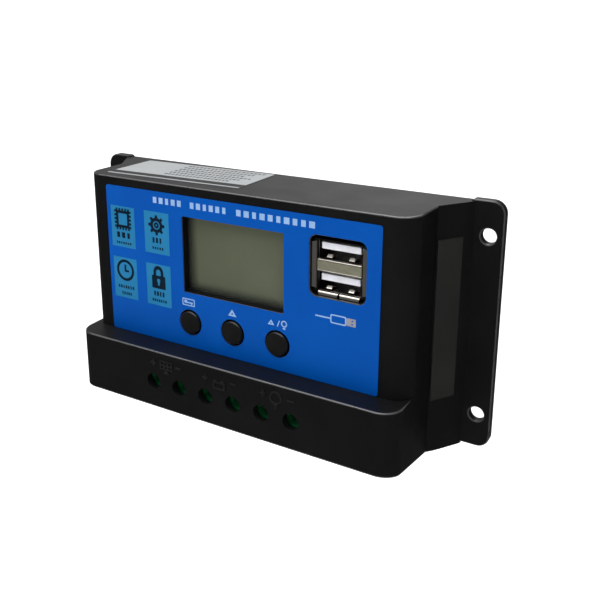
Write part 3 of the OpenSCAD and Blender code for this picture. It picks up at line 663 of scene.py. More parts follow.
def lay(shape, origin, right=(1, 0, 0), up=(0, 0, 1)):
    """(u, v, w) to the frame in metres: origin + u right + v up + w out, with out = right x up."""
    points, faces = shape
    axes = np.array([right, up, np.cross(right, up)], float)
    return (np.asarray(origin, float) + points @ axes) * MM, faces


print("a rounded square has", len(rounded(0, 0, 1, 1, 0.2)), "points")


# %% [markdown]
# ## The blue film
#
# The front film is a polyester sheet, printed on its back and stuck to the panel. Its openings
# are punched a little larger than those of the plastic behind it, which leaves a thin dark rim
# around the socket and the buttons. A texture could carry that print, but a sheet has a real
# edge, so it catches light as the real one does.

# %% Film
film_front, film_back = -label_low[Y], -label_high[Y]
window_low, window_high = box_of("lcd_glass")
window_mid = (window_low + window_high) / 2
window_size, socket_size, button_hole = (33.3, 22.4), (16.35, 16.7), 3.95
shell_low, shell_high = box_of("usb_shell")
shell_mid = (shell_low + shell_high) / 2
caps = [box_of(f"button_cap_{i + 1}") for i in range(3)]
cap_mid = [(low + high) / 2 for low, high in caps]
label_mid = (label_low + label_high) / 2
label_size = label_high - label_low

film_holes = [rounded(window_mid[X], window_mid[Z], *window_size, 0.3),
              rounded(shell_mid[X], shell_mid[Z], *socket_size, 2.25, 9)]
film_holes += [circle(mid[X], mid[Z], button_hole, 48) for mid in cap_mid]
film_outline = rounded(label_mid[X], label_mid[Z], label_size[X], label_size[Z], 0.8)
film_shape = sheet(film_outline, film_holes, thick=film_front - film_back)
film = make_piece("front_film", *lay(film_shape, (0, -film_back, 0)))
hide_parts("front_label")
paint(film, "blue_film")
print("film", np.round(label_size[[X, Z]], 2), "mm with", len(film_holes), "openings")


# %% [markdown]
# ## The print on the film
#
# Inks are thin but real layers, so each is a sheet a few hundredths of a millimetre thick on
# the film's face. Four pale panels carry a chip, a gear, a clock and a padlock. Words are left
# out: a row of small blocks stands where each word would be.

# %% Inks
def print_ink(name, shapes, ink):
    """Lays sheets on the film's front face as one piece."""
    piece = make_piece(name, *lay(join(shapes), (0, -film_front, 0)))
    return paint(piece, ink)


def blocks(u0, u1, v, height, count, **layer):
    """A row of count blocks from u0 to u1, their widths varying a little by a sine of their place."""
    step = (u1 - u0) / count
    middle = u0 + step * (np.arange(count) + 0.5)
    width = step * (0.58 + 0.1 * np.sin(np.arange(count) * 2.3))
    return [sheet(bar(u, v, w, height), **layer) for u, w in zip(middle, width)]


ink_thick, panel_width = 0.02, 9
panels = {"chip": (-38.55, 19.28, 12.45), "gear": (-25.85, 19.28, 12.45),
          "clock": (-38.55, 3.45, 12.7), "padlock": (-25.85, 3.45, 12.7)}
print_ink("pale_panels", [sheet(bar(u, v, panel_width, height), thick=ink_thick)
                          for u, v, height in panels.values()], "tile_ink")
print(len(panels), "pale panels")


# %% [markdown]
# ## Signs on the pale panels
#
# Each panel has a sign in a second, dark ink: a chip with its legs, a gear, a clock or a padlock.
# They could be traced as curves, but rings, bars and arcs say more plainly what they are. Words
# are left out, so under each sign are two rows of blocks. The dark ink starts inside the pale one
# and ends above it, so the two never share a plane.

# %% Chip and gear
over = {"thick": ink_thick, "base": 0.015}
sign = []

u, v = panels["chip"][0], 21.6
sign.append(sheet(rounded(u, v, 5.0, 5.2, 0.2), [rounded(u, v, 3.3, 3.5, 0.2)], **over))
for k in (-2, -1, 0, 1, 2):
    for side in (-1, 1):
        sign.append(sheet(bar(u + k * 1.12, v + side * 2.9, 0.68, 0.75), **over))
        sign.append(sheet(bar(u + side * 2.8, v + k * 1.16, 0.75, 0.68), **over))
sign += blocks(u - 2.9, u + 2.9, 16.75, 1.7, 3, **over) + blocks(u - 3, u + 3, 14.35, 0.7, 7, **over)

u, v = panels["gear"][0], 21.55
sign.append(sheet(gear(u, v, 2.25, 3.0, 8), [circle(u, v, 1.25)], **over))
sign.append(sheet(circle(u, v, 0.9), [circle(u, v, 0.3, 12)], **over))
sign += blocks(u - 1.9, u + 1.9, 17.05, 1.6, 3, **over) + blocks(u - 2, u + 2.4, 14.7, 0.75, 5, **over)

print(len(sign), "sheets in the chip and the gear")

# %% Clock and padlock
u, v = panels["clock"][0], 5.85
sign.append(sheet(circle(u, v, 3.35, 48), [circle(u, v, 2.5, 48)], **over))
hands = np.array([[-0.35, 1.8], [-0.35, -0.5], [1.35, -0.5], [1.35, 0.15], [0.35, 0.15], [0.35, 1.8]])
sign.append(sheet(hands + [u, v], **over))
sign += blocks(u - 3.2, u + 3.2, 0.55, 0.95, 7, **over) + blocks(u - 1.9, u + 2.1, -1.45, 0.9, 5, **over)

u, v = panels["padlock"][0], 4.35
ring = circle(u, v + 0.45, 0.62, 20)
keyhole = np.concatenate([ring[2:14], [[u - 0.3, v - 1.0], [u + 0.3, v - 1.0]], ring[17:]])
sign.append(sheet(rounded(u, v, 5.0, 4.0, 0.35), [keyhole], **over))
arch = np.radians(np.linspace(0, 180, 25))
outer = np.stack([u + 1.85 * np.cos(arch), v + 2.9 + 2.1 * np.sin(arch)], -1)
inner = np.stack([u + 0.85 * np.cos(arch[::-1]), v + 2.9 + 1.0 * np.sin(arch[::-1])], -1)
feet = [[u - 1.85, v + 1.85], [u - 0.85, v + 1.85]], [[u + 0.85, v + 1.85], [u + 1.85, v + 1.85]]
sign.append(sheet(np.concatenate([outer, feet[0], inner, feet[1]]), **over))
sign += blocks(u - 2.1, u + 2.1, 0.75, 1.45, 4, **over) + blocks(u - 2.8, u + 2.8, -1.35, 0.85, 7, **over)

print_ink("panel_signs", sign, "dark_ink")
print(len(sign), "sheets of dark ink")


# %% [markdown]
# ## Pale signs
#
# A third, pale ink prints the title, a sign over each button and a plug under the socket. The
# title is three rows of blocks. The signs are rings and bars again: a key in a frame, a triangle
# made hollow by its own smaller copy, and a lamp. All are one piece, because they are one ink.

# %% Title row, button signs and plug
pale = blocks(-27.15, -16.3, 29.0, 1.75, 5) + blocks(-14.0, -1.0, 29.0, 1.75, 6)
pale += blocks(1.4, 26.35, 29.0, 1.75, 10)

u, v = cap_mid[0][X] - 0.45, 0.3
pale.append(sheet(rounded(u, v, 4.4, 2.2, 0.3), [rounded(u, v, 3.8, 1.6, 0.15)]))
pale.append(sheet(circle(u - 1.0, v + 0.1, 0.55, 16)))
pale.append(sheet(bar(u + 0.45, v - 0.1, 2.1, 0.4)))
pale.append(sheet(bar(u + 1.1, v - 0.45, 0.4, 0.5)))


def triangle(u, v, width, height):
    """Triangle that points up, about (u, v), and the smaller one inside it."""
    points = np.array([[-0.5, -0.5], [0.5, -0.5], [0.0, 0.5]]) * [width, height] + [u, v]
    middle = points.mean(0)
    return points, (points - middle) * 0.32 + middle


for u, width in ((cap_mid[1][X] + 0.05, 2.8), (cap_mid[2][X] - 1.9, 2.1)):
    outside, inside_part = triangle(u, 0.15, width, width * 0.72)
    pale.append(sheet(outside, [inside_part]))
u = cap_mid[2][X]
pale.append(sheet(turned_by(bar(u + 0.4, 0.15, 0.3, 1.9), -22, (u + 0.4, 0.15))))
pale.append(sheet(circle(u + 2.2, 0.4, 0.95, 24), [circle(u + 2.2, 0.4, 0.6, 24)]))
pale.append(sheet(bar(u + 2.2, -0.95, 0.8, 0.5)))

u, v = shell_mid[X], 5.0
pale.append(sheet(rounded(u + 0.6, v, 4.6, 2.5, 0.5), [rounded(u + 0.6, v, 3.9, 1.8, 0.3)]))
pale.append(sheet(bar(u - 3.9, v, 4.4, 0.4)))
print_ink("pale_signs", pale, "pale_ink")
plug_holes = [bar(u + 4.6, v + rise, 0.5, 0.35) for rise in (0.45, -0.45)]
print_ink("plug_end", [sheet(bar(u + 4.25, v, 2.6, 2.1), plug_holes)], "grey_ink")
print(len(pale), "sheets of pale ink")


# %% [markdown]
# ## Stickers
#
# The rating sticker is stuck on the top by hand, a little crooked, so its place and its turn are
# measured on the sticker's own part in the frame. On it are a plain field, a dark band and rows
# of grey blocks where the print would be.

# %% Rating sticker
rating_low, rating_high = box_of("rating_label")
rating_corners = np.array([v.co for v in nodes["rating_label"].data.vertices]) / MM
rating_mid = (rating_low + rating_high) / 2
right_end = rating_corners[rating_corners[:, X].argmax()]
near_end = rating_corners[rating_corners[:, Y].argmin()]
rating_turn = math.atan2(right_end[Y] - near_end[Y], right_end[X] - near_end[X])
along = (math.cos(rating_turn), math.sin(rating_turn), 0)
across = (-math.sin(rating_turn), math.cos(rating_turn), 0)
rating_origin = (rating_mid[X], rating_mid[Y], rating_low[Z])
rating_size, sticker_thick = (46, 20.5), 0.14


def on_top(name, shapes, ink):
    """Lays sheets on the rating sticker as one piece."""
    return paint(make_piece(name, *lay(join(shapes), rating_origin, along, across)), ink)


sticker = on_top("rating_sticker", [sheet(rounded(0, 0, *rating_size, 0.5), thick=sticker_thick)],
                 "white_film")
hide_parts("rating_label")
line = {"thick": ink_thick, "base": sticker_thick}
rows = []
for k in range(6):
    rows += blocks(-6.5, 21.0 - (k * 37 % 11) * 0.55, 8.2 - k * 2.45, 1.15, 20 - k % 3, **line)
on_top("rating_band", [sheet(bar(0, -7.95, 45.9, 2.9), **line)], "casing_plastic")
on_top("rating_print", rows, "sticker_ink")
print("sticker turned by", round(math.degrees(rating_turn), 2), "degrees;", len(rows), "sheets on it")


# %% [markdown]
# ## Raised signs over the terminals
#
# The tool that moulds the case also cuts shallow signs in it, so plus, minus, a solar panel, a
# battery and a lamp stand proud of the ledge in the same black plastic. Only their edges show;
# their finish is a little lighter than the casing's, a painted highlight on those edges.
# Engraving them into the shell would be a boolean; laying thin closed sheets on it is simpler.

# %% Signs on the ledge
raised = {"thick": 0.28, "base": -0.02}
stroke = 0.46


def plus(u, v, size):
    """A cross about (u, v): twelve corners, half the size out and half the stroke wide."""
    half, arm = size / 2, stroke / 2
    ends = np.array([[half, -arm], [half, arm], [arm, arm], [arm, half], [-arm, half], [-arm, arm],
                     [-half, arm], [-half, -arm], [-arm, -arm], [-arm, -half], [arm, -half], [arm, -arm]])
    return sheet(ends + [u, v], **raised)


def minus(u, v, size):
    """One stroke about (u, v)."""
    return sheet(bar(u, v, size, stroke), **raised)


signs = [plus(-22.7, -17.2, 2.0), minus(-13.75, -17.1, 1.9), plus(-4.24, -17.26, 1.9),
         minus(4.9, -17.0, 1.8), plus(14.8, -17.0, 1.9), minus(23.35, -17.2, 2.1)]

print(len(signs), "plus and minus signs")

# %% Solar panel, battery and lamp
u, v = -18.1, -17.3
cells = [bar(u + du, v + dv, 0.85, 0.75) for du in (-1.35, 0, 1.35) for dv in (0.6, -0.6)]
signs.append(sheet(bar(u, v, 4.4, 2.6), cells, **raised))
signs.append(sheet(np.array([[-0.3, -1.3], [0.3, -1.3], [1.1, -2.6], [-1.1, -2.6]]) + [u, v], **raised))

u, v = 0.4, -18.7
signs.append(sheet(rounded(u, v, 4.0, 2.2, 0.15), [rounded(u, v, 3.2, 1.4, 0.1)], **raised))
signs.append(sheet(bar(u - 1.1, v + 1.4, 0.8, 0.55), **raised))
signs.append(sheet(bar(u + 1.1, v + 1.4, 0.8, 0.55), **raised))

u, v = 18.7, -17.4
signs.append(sheet(circle(u, v, 1.85, 40), [circle(u, v, 1.42, 40)], **raised))
signs.append(sheet(bar(u, v - 2.15, 1.4, 0.36), **raised))
signs.append(sheet(bar(u, v - 2.75, 1.2, 0.36), **raised))
signs.append(sheet(bar(u, v - 3.3, 0.7, 0.3), **raised))

# sign_plastic is lighter than the casing: a painted highlight on the signs.
paint(make_piece("raised_signs", *lay(join(signs), (0, ledge_y, 0))), "sign_plastic")
print(len(signs), "raised shapes")


# %% [markdown]
# ## Turned parts and rounded blocks
#
# A button, a screw or a capacitor comes off a lathe or out of a round mould, so it is a profile
# swept once around a line. Chips, tongues and the glass are blocks whose edges are rounded. Both
# are grids: rings of points stacked along the height.

# %% Lathe and block
def turned(profile, steps=48):
    """(radius, height) pairs swept round the height axis: (r cos a, r sin a, h)."""
    radius, height = np.array(profile, float).T
    turn = np.linspace(0, 2 * math.pi, steps, endpoint=False)[None, :]
    points = np.stack(np.broadcast_arrays(radius[:, None] * np.cos(turn),
                                          radius[:, None] * np.sin(turn), height[:, None]), -1)
    return points.reshape(-1, 3), grid_faces(len(profile), steps, wrap=True)


def arc(r, h, radius, start, end, steps=5):
    """Points of an arc about (r, h) from one angle to another, for a profile."""
    turn = np.radians(np.linspace(start, end, steps))
    return list(zip(r + radius * np.cos(turn), h + radius * np.sin(turn)))


def block(u, v, width, height, low, high, corner=0.3, edge=0.2, base_edge=0.0, steps=4):
    """Rings of one outline from low to high. Near each end a ring is drawn in by edge (1 - cos a)
    and lifted by edge sin a, so the rim is a quarter circle; a flat face closes each end."""
    turn = np.radians(np.linspace(0, 90, steps))
    rings = [(0.0, low)]
    if base_edge:
        rings = [(base_edge * (1 - math.cos(a)), low + base_edge - base_edge * math.sin(a))
                 for a in turn[::-1]]
    rings += list(zip(edge * (1 - np.cos(turn)), high - edge + edge * np.sin(turn)))
    corner_steps = 5
    around = 4 * corner_steps
    outlines = [rounded(u, v, width - 2 * d, height - 2 * d, max(corner - d, 0.02), corner_steps)
                for d, _ in rings]
    points = [np.column_stack([outline, np.full(around, h)]) for outline, (_, h) in zip(outlines, rings)]
    last = (len(rings) - 1) * around
    ends = [list(range(around))[::-1], [i + last for i in range(around)]]
    return np.concatenate(points), grid_faces(len(rings), around, wrap=True) + ends


print("block of", len(block(0, 0, 2, 2, 0, 1)[0]), "points")


# %% [markdown]
# ## Push buttons
#
# Each cap is turned: a stem with a socket for the switch's plunger, a flange that keeps it
# behind the panel, and a nearly flat top whose rounded rim catches a crescent of light. The
# top bulges by a tenth of a millimetre, because a moulded disc is never quite flat.

# %% Button caps
def cap_profile(front, back, r=3.45, rim=0.55, bulge=0.12):
    """From the socket's roof round the flange and up to the middle of the top."""
    socket, socket_deep, stem = 1.7, 2, 2.6
    flange, flange_back, flange_front, bevel = 4.6, 23.8, 25.0, 0.1
    bowl = [(r - rim - (r - rim) * t, front - bulge * (1 - t) ** 2) for t in (0.0, 0.3, 0.6, 0.8, 1.0)]
    return ([(0, back + socket_deep), (socket, back + socket_deep), (socket, back), (stem, back),
             (stem, flange_back), (flange - bevel, flange_back), (flange, flange_back + bevel),
             (flange, flange_front - bevel), (flange - bevel, flange_front), (r, flange_front)]
            + arc(r - rim, front - bulge - rim, rim, 0, 90, 7) + bowl)


for i, (low, high) in enumerate(caps):
    cap_shape = lay(turned(cap_profile(-low[Y], -high[Y]), 64), (cap_mid[i][X], 0, cap_mid[i][Z]))
    cap = make_piece(f"button_top_{i + 1}", *cap_shape, f"button_{i + 1}", 30)
    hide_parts(f"button_cap_{i + 1}")
    paint(cap, "button_plastic")
print("caps reach", round(-caps[0][0][Y], 2), "mm from the wall")


# %% [markdown]
# ## Display glass
#
# The display is a sandwich of two glasses and polarisers behind the window. Switched off, it
# is an olive grey that the window's deep sides shade. A see-through glass would show only the
# light guide, so the piece is opaque with a clear coat. The shade at its left and foot is
# painted: a smooth mask in object coordinates mixes a dark colour into the glass's own.

# %% Glass with painted shade at its left and foot
glass_size = window_high - window_low
glass = make_piece("display_sandwich", *lay(
    block(window_mid[X], window_mid[Z], glass_size[X], glass_size[Z], -window_high[Y],
          -window_low[Y], corner=0.4, edge=0.12, base_edge=0.12), (0, 0, 0)))
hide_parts("lcd_glass")
paint(glass, "display_glass")

hidden_left, hidden_foot, shade_band_width = 0.4, 0.6, 4.2  # of the painted shade band, which starts behind the window's rim
tree = finishes["display_glass"].node_tree
shade = tree.nodes.new("ShaderNodeGroup")
shade.node_tree = edge_shade
shade.inputs["Left"].default_value = (window_mid[X] - window_size[0] / 2 - hidden_left) * MM
shade.inputs["Foot"].default_value = (window_mid[Z] - window_size[1] / 2 - hidden_foot) * MM
shade.inputs["Width"].default_value = shade_band_width * MM
shaded = tree.nodes.new("ShaderNodeMix")
shaded.data_type = "RGBA"
# The dark colour is painted shade, mixed into the glass's colour near its left and foot.
shaded.inputs["A"].default_value = (0.016, 0.02, 0.018, 1)
shader = tree.nodes["Principled BSDF"]
tree.links.new(shade.outputs["Mask"], shaded.inputs["Factor"])
tree.links.new(shader.inputs["Base Color"].links[0].from_socket, shaded.inputs["B"])
tree.links.new(shaded.outputs["Result"], shader.inputs["Base Color"])
print("glass", np.round(glass_size, 2))


# %% [markdown]
# ## USB socket
#
# The double socket's shell is folded from nickel-plated steel. Its mouth is flared so that a
# plug finds its way in, each port has two leaf springs in its floor, and the white tongues carry
# the contacts. The shell keeps its own shape; the flares and springs are strips, one profile
# carried along a straight line, and a rounded block stands for the folded band between the ports.

# %% Strips
def strip(profile, start, end, thick, taper=0.0):
    """A profile in (a, b) carried along c from start to end, with its copy thick behind it along
    the profile's own normal. taper shortens it at the profile's last point, as a mitre does."""
    line_points = np.array(profile, float)
    heading = np.gradient(line_points, axis=0)
    normal = np.stack([-heading[:, 1], heading[:, 0]], -1)
    normal /= np.linalg.norm(normal, axis=1, keepdims=True)
    loop = np.concatenate([line_points, (line_points + thick * normal)[::-1]])
    share = np.linspace(0, 1, len(line_points))
    mitre = np.concatenate([share, share[::-1]]) * taper
    points = np.concatenate([np.column_stack([loop, start + mitre]),
                             np.column_stack([loop, end - mitre])])
    count = len(loop)
    ends = [list(range(count))[::-1], [i + count for i in range(count)]]
    return points, grid_faces(2, count, wrap=True) + ends


print("a plain strip has", len(strip([(0, 0), (1, 0)], 0, 1, 0.1)[0]), "points")

# %% Flares of the socket's mouth
mouth = -shell_low[Y]
side_x, low_z = shell_high[X] - shell_mid[X], shell_mid[Z] - shell_low[Z]
flare = [(side_x - 1.05, mouth - 0.9), (side_x - 0.8, mouth - 0.1), (side_x - 0.62, mouth + 0.18),
         (side_x - 0.25, mouth + 0.32), (side_x + 0.5, mouth + 0.34)]
flared = []
for side in (-1, 1):
    wall, wall_faces = strip(flare, -low_z + 0.6, low_z - 0.5, -0.22, 0.45)
    wall = np.column_stack([side * wall[:, 0], wall[:, 2], wall[:, 1]])
    flared.append((wall, wall_faces))
lip = [(low_z - 0.35, mouth - 0.6), (low_z - 0.2, mouth - 0.05), (low_z - 0.02, mouth + 0.2),
       (low_z + 0.3, mouth + 0.32), (low_z + 0.85, mouth + 0.34)]
for start, end in ((-6.0, -0.12), (0.12, 6.0)):
    sill, sill_faces = strip(lip, start, end, -0.22, 0.3)
    flared.append((np.column_stack([sill[:, 2], -sill[:, 0], sill[:, 1]]), sill_faces))
mouth_piece = make_piece("socket_mouth", *lay(join(flared), (shell_mid[X], 0, shell_mid[Z])), crease=40)
paint(mouth_piece, "bright_steel")
print("socket mouth", len(mouth_piece.data.polygons), "faces")

# %% Band between the ports
port_width, band_height, rim_height = 12.5, 2.5, 0.5
rims = [block(0, rise, port_width, rim_height, mouth - 1.0, mouth + 0.14, 0.05, 0.22)
        for rise in (1.42, -1.42)]
band = block(0, 0, port_width, band_height, mouth - 0.8, mouth + 0.1, 0.05, 0.05)
paint(make_piece("band_rims", *lay(join(rims), (shell_mid[X], 0, shell_mid[Z]))), "bright_steel")
paint(make_piece("port_band", *lay(band, (shell_mid[X], 0, shell_mid[Z]))), "folded_steel")
print("band", port_width, "by", band_height, "mm with", len(rims), "bright rims")


# %% [markdown]
# ## Springs and tongues of the ports
#
# In the floor of each port two leaf springs press on the plug, and a white tongue carries the
# contacts. A spring is cut from the shell's own sheet and bent, so it is one bent strip. The
# tongues and the block that they grow from are one moulding, so they are one piece here too.

# %% Leaf springs and tongues
port_floors = (shell_mid[Z] + 1.64, shell_mid[Z] - 6.76)
leaf_apart, leaf_half = 3.15, 0.75
spring = [(mouth - 3.2, 0.02), (mouth - 2.6, 0.35), (mouth - 1.9, 0.85), (mouth - 1.5, 0.98),
          (mouth - 1.1, 0.85), (mouth - 0.75, 0.5)]
leaves = []
for floor_z in port_floors:
    for offset in (-leaf_apart, leaf_apart):
        leaf, leaf_faces = strip(spring, offset - leaf_half, offset + leaf_half, 0.18)
        leaves.append((np.column_stack([leaf[:, 2] + shell_mid[X], leaf[:, 1] + floor_z, leaf[:, 0]]),
                       leaf_faces))
paint(make_piece("port_springs", *lay(join(leaves), (0, 0, 0))), "bright_steel")


tongue_low, tongue_high = box_of("usb_insulator")
tongue_block, floor_y = tongue_high - tongue_low, 17.0
tongue_width, tongue_thick = 11.1, 1.84
body = block(shell_mid[X], shell_mid[Z], tongue_block[X], tongue_block[Z], -tongue_high[Y], floor_y,
             0.2, 0.1)
tongues = [block(shell_mid[X], shell_mid[Z] + rise, tongue_width, tongue_thick, floor_y - 0.5,
                 -tongue_low[Y], 0.15, 0.22) for rise in (5.14, -3.26)]
tongue_piece = make_piece("port_tongues", *lay(join([body, *tongues]), (0, 0, 0)))
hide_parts("usb_insulator")
paint(tongue_piece, "tongue_plastic")
print(len(leaves), "springs and", len(tongues), "tongues")


# %% [markdown]
# ## Back of the case
#
# The rear cover is a flat moulded lid, let into the housing and held by four screws. Its rim is
# rounded like the housing's. The screws keep their own shape, cross recess and all.

# %% Rear cover
cover_low, cover_high = box_of("rear_cover")
rim_margin = 1.6  # the outline's edges lie this close to the cover's box


def cover_rim(ends):
    """Edges of the cover's outline in its back face."""
    from_side = np.minimum(ends[:, :, X] - cover_low[X], cover_high[X] - ends[:, :, X])
    from_end = np.minimum(ends[:, :, Z] - cover_low[Z], cover_high[Z] - ends[:, :, Z])
    return on_plane(ends, Y, cover_high[Y]) & np.all(np.minimum(from_side, from_end) < rim_margin, axis=1)


# Its rounded rim takes the edge finish, whose lighter colour is a painted highlight.
cover = rounded_copy("rear_cover", [(cover_rim, 0.3, 2, 1)], "casing_plastic", "edge_highlight_plastic")
print("cover", np.round(cover_high - cover_low, 2))


# %% [markdown]
# ## Parts on the board
#
# Behind the panel are the parts that do the work. Each package is a rounded block or a turned
# can with its leads, which is how they are moulded and drawn. The leads end in solder on the
# board, and a lead is one bent strip, so rows of them are the same strip laid side by side.

# %% Where things stand on the board
board_low, board_high = box_of("circuit_board")
front_face, back_face = -board_low[Y], -board_high[Y]
BEHIND = {"right": (-1, 0, 0), "up": (0, 0, 1)}


def behind(name, shapes, ink):
    """Lays shapes on the board's back. Their u runs left, and w is minus the depth."""
    return paint(make_piece(name, *lay(join(shapes), (0, 0, 0), **BEHIND)), ink)


def ahead(name, shapes, ink):
    """Lays shapes on the board's front. Their w is the depth."""
    return paint(make_piece(name, *lay(join(shapes), (0, 0, 0))), ink)


print("board faces at", round(front_face, 2), "and", round(back_face, 2), "mm from the wall")


# %% [markdown]
# ## Power transistors
#
# Four flat packages switch the current, lying on pads that carry their heat to a plate. Each is
# moulded epoxy with drafted edges, and three tinned leads step down from its foot to the board.
# One rounded block and three copies of one bent strip do that, with no boolean and no bevel.

# %% Power transistors
lead_pitch, lead_half = 2.54, 0.4
fets_low, fets_high = box_of("power_transistors")
fet_size = np.array([10, fets_high[Y] - fets_low[Y], fets_high[Z] - fets_low[Z]])
fet_x = np.linspace(fets_low[X] + 5, fets_high[X] - 5, 4)
fet_z = (fets_low[Z] + fets_high[Z]) / 2
bodies = [block(-x, fet_z, fet_size[0], fet_size[2], fets_low[Y], fets_high[Y], 0.3, 0.5, 0.2)
          for x in fet_x]
packages = behind("transistor_packages", bodies, "epoxy")
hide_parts("power_transistors")
step_down = np.array([(0.2, 2.2), (-0.7, 2.2), (-1.2, 1.6), (-1.5, 0.25), (-2.1, 0.15)])
lead = step_down + [fets_low[Z], fets_low[Y]]
leads = []
for x in fet_x:
    for step in (-lead_pitch, 0, lead_pitch):
        points, faces = strip(lead, -x + step - lead_half, -x + step + lead_half, 0.4)
        leads.append((points[:, [2, 0, 1]], faces))
behind("transistor_leads", leads, "tinned_pins")
print(len(bodies), "transistors,", len(leads), "leads")


# %% [markdown]
# ## Microcontroller
#
# The controller's square package has legs along all four sides. They could be an Array modifier
# turned four times, but forty-four small sheets in one mesh need no modifier and no turning.

# %% Microcontroller and its legs
leg_pitch, leg_width, leg_long = 0.8, 0.35, 1.0
chip_low, chip_high = box_of("microcontroller")
chip_z, chip_size = (chip_low[Z] + chip_high[Z]) / 2, chip_high - chip_low
chip = behind("controller_chip", [block(0, chip_z, chip_size[X], chip_size[Z], chip_low[Y] + 0.1,
                                        chip_high[Y], 0.2, 0.12, 0.12)], "epoxy")
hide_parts("microcontroller")
legs = []
on_board = {"thick": 0.25, "base": chip_low[Y]}
for place in (np.arange(11) - 5) * leg_pitch:
    for side in (-1, 1):
        out = side * (chip_size[X] / 2 + 0.45)
        legs.append(sheet(bar(place, chip_z + out, leg_width, leg_long), **on_board))
        legs.append(sheet(bar(out, chip_z + place, leg_long, leg_width), **on_board))
behind("chip_legs", legs, "tinned_pins")
print("controller with", len(legs), "legs")


# %% [markdown]
# ## Small ceramic parts
#
# Chip resistors and capacitors are ceramic bricks, tinned at both ends. The bricks are one piece
# and their ends another, because they differ in finish, and each is a loop over the same middles.

# %% Chip resistors and their tinned ends
parts_low, parts_high = box_of("chip_parts")
small = np.array([2.0, parts_high[Y] - parts_low[Y], 1.25])
columns = np.array([0.8, 1.8, 2.8, 3.8]) * 4.5 + chip_size[X] / 2
middles = [(side * c, z) for side in (-1, 1) for c in columns
           for z in (parts_low[Z] + small[2] / 2, parts_high[Z] - small[2] / 2)]
ceramics = behind("small_ceramics", [block(u, v, small[0] - 0.7, small[2], parts_low[Y],
                                           parts_high[Y] - 0.05, 0.05, 0.05) for u, v in middles],
                  "ceramic")
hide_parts("chip_parts")
ends = [block(u + side * (small[0] / 2 - 0.2), v, 0.4, small[2], parts_low[Y], parts_high[Y], 0.05, 0.08)
        for u, v in middles for side in (-1, 1)]
behind("ceramic_ends", ends, "tinned_pins")
print(len(middles), "chip resistors and capacitors")


# %% [markdown]
# ## Electrolytic capacitors
#
# A capacitor is an aluminium can in a shrunk sleeve, crimped above its foot, with scored wedges on
# its bare top that let it vent. It comes off a press, so it is a profile swept round. The wedges
# are four thin sheets let into the top rather than grooves cut in it, which keeps the can closed.

# %% Capacitors
cans_low, cans_high = box_of("capacitors")
can_x = (cans_low[X] + cans_high[X]) / 2
cans = [(cans_high[Z] - 5, 5, -cans_low[Y]), (cans_low[Z] + 4, 4, front_face + 11)]


def can_profile(r, top, base):
    """A sleeved can: a groove above its foot, a shoulder, and a rim round the bare top."""
    foot = [(0, base), (r - 0.4, base), (r, base + 0.4)]
    groove = [(r, base + 1.2), (r - 0.35, base + 1.7), (r, base + 2.2)]
    bare_top = [(r - 1.1, top), (r - 1.2, top - 0.25), (0, top - 0.25)]
    return foot + groove + arc(r - 0.7, top - 0.7, 0.7, 0, 90) + bare_top


sleeves = [turned(can_profile(r, top, front_face), 40) for _, r, top in cans]
sleeve_shapes = [(points + [can_x, z, 0], faces)
                 for (points, faces), (z, _, _) in zip(sleeves, cans)]
sleeve = ahead("capacitor_sleeves", sleeve_shapes, "capacitor_sleeve")
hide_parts("capacitors")
vents = []
for z, r, top in cans:
    for turn in (0, 90, 180, 270):
        tip = (r - 1.4) * 0.72
        wedge = np.array([[0.15, 0.15], [r - 1.5, 0.15], [tip, tip], [0.15, r - 1.5]])
        vents.append(sheet(turned_by(wedge, turn, (0, 0)) + [can_x, z], thick=0.12, base=top - 0.3))
ahead("capacitor_vents", vents, "spreader_aluminium")
print("capacitors of radius", [r for _, r, _ in cans])


# %% [markdown]
# ## The supply of the USB ports
#
# An inductor, a regulator and a diode step the battery's voltage down. Each is a block with a tab
# at either end, and they differ only in size, corners and finish, so one loop makes all three.

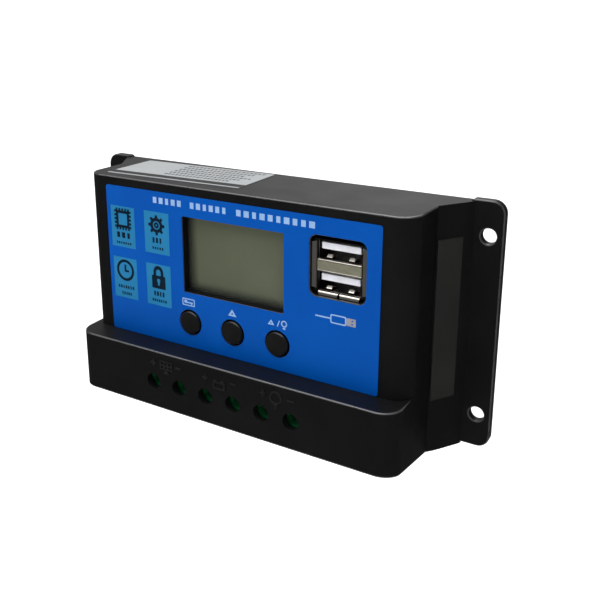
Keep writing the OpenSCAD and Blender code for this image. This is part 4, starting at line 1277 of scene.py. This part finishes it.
# %% Inductor, regulator and diode
for node, name, finish_name, corner, edge in (
        ("inductor", "inductor_body", "ferrite", 2.5, 0.7),
        ("regulator_chip", "regulator_body", "epoxy", 0.2, 0.2),
        ("diode", "diode_body", "epoxy", 0.2, 0.35)):
    low, high = box_of(node)
    mid, size = (low + high) / 2, high - low
    piece = ahead(name, [block(mid[X], mid[Z], size[X], size[Z], -high[Y], -low[Y], corner, edge)],
                  finish_name)
    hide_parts(node)
    tabs = [sheet(bar(mid[X], mid[Z] + side * (size[Z] / 2 + 0.2), min(size[X] * 0.5, 4), 1.0),
                  thick=0.3, base=-high[Y]) for side in (-1, 1)]
    ahead(name.replace("body", "tabs"), tabs, "tinned_pins")
    print(node, np.round(size, 1))


# %% [markdown]
# ## Solder
#
# Every pin that goes through the board ends in a small shining mound of solder. It could be a
# sphere cut in half, but a mound has a foot that spreads and a blunt tip, which a five-point
# profile swept round in twelve steps gives. That is enough for a joint under a millimetre high.

# %% Solder on the board's back
terminal_pitch = 9.25
pins_low, pins_high = box_of("lcd_pins")
bars_low, bars_high = box_of("terminal_bars")
pin_x = np.linspace(pins_low[X], pins_high[X], 10) * (1 - 0.45 / (pins_high[X] - pins_low[X]))
spots = [(-x, z, 0.75, 0.8) for x in pin_x for z in (pins_low[Z] + 0.22, pins_high[Z] - 0.22)]
spots += [(-x, bars_high[Z] - 0.5, 1.6, 0.9) for x in (np.arange(6) - 2.5) * terminal_pitch]
domes = []
for u, v, r, h in spots:
    points, faces = turned([(0, 0), (r, 0), (r * 0.75, h * 0.25), (r * 0.45, h * 0.8), (0, h)], 12)
    domes.append((points + [u, v, board_high[Y]], faces))
behind("solder_joints", domes, "tinned_pins")
print(len(spots), "solder joints")


# %% [markdown]
# ## The parts that keep their own shape
#
# The other parts come from the frame just as they are, and most sit inside the case. They still
# need a finish each, because the case can be opened. The record names one for every part.

# %% Finishes of the carried-over parts
# The USB shell takes shell_steel, plated steel darkened as painted shade.
finish_of = {part["node"]: part["material_slot"] for part in frame["record"]["subparts"]}
kept = [name for name, part in nodes.items() if not part.hide_render]
for name in kept:
    nodes[name].data.materials.clear()
    nodes[name].data.materials.append(finishes[finish_of[name]])
print(len(kept), "parts keep their own shape:", ", ".join(kept))
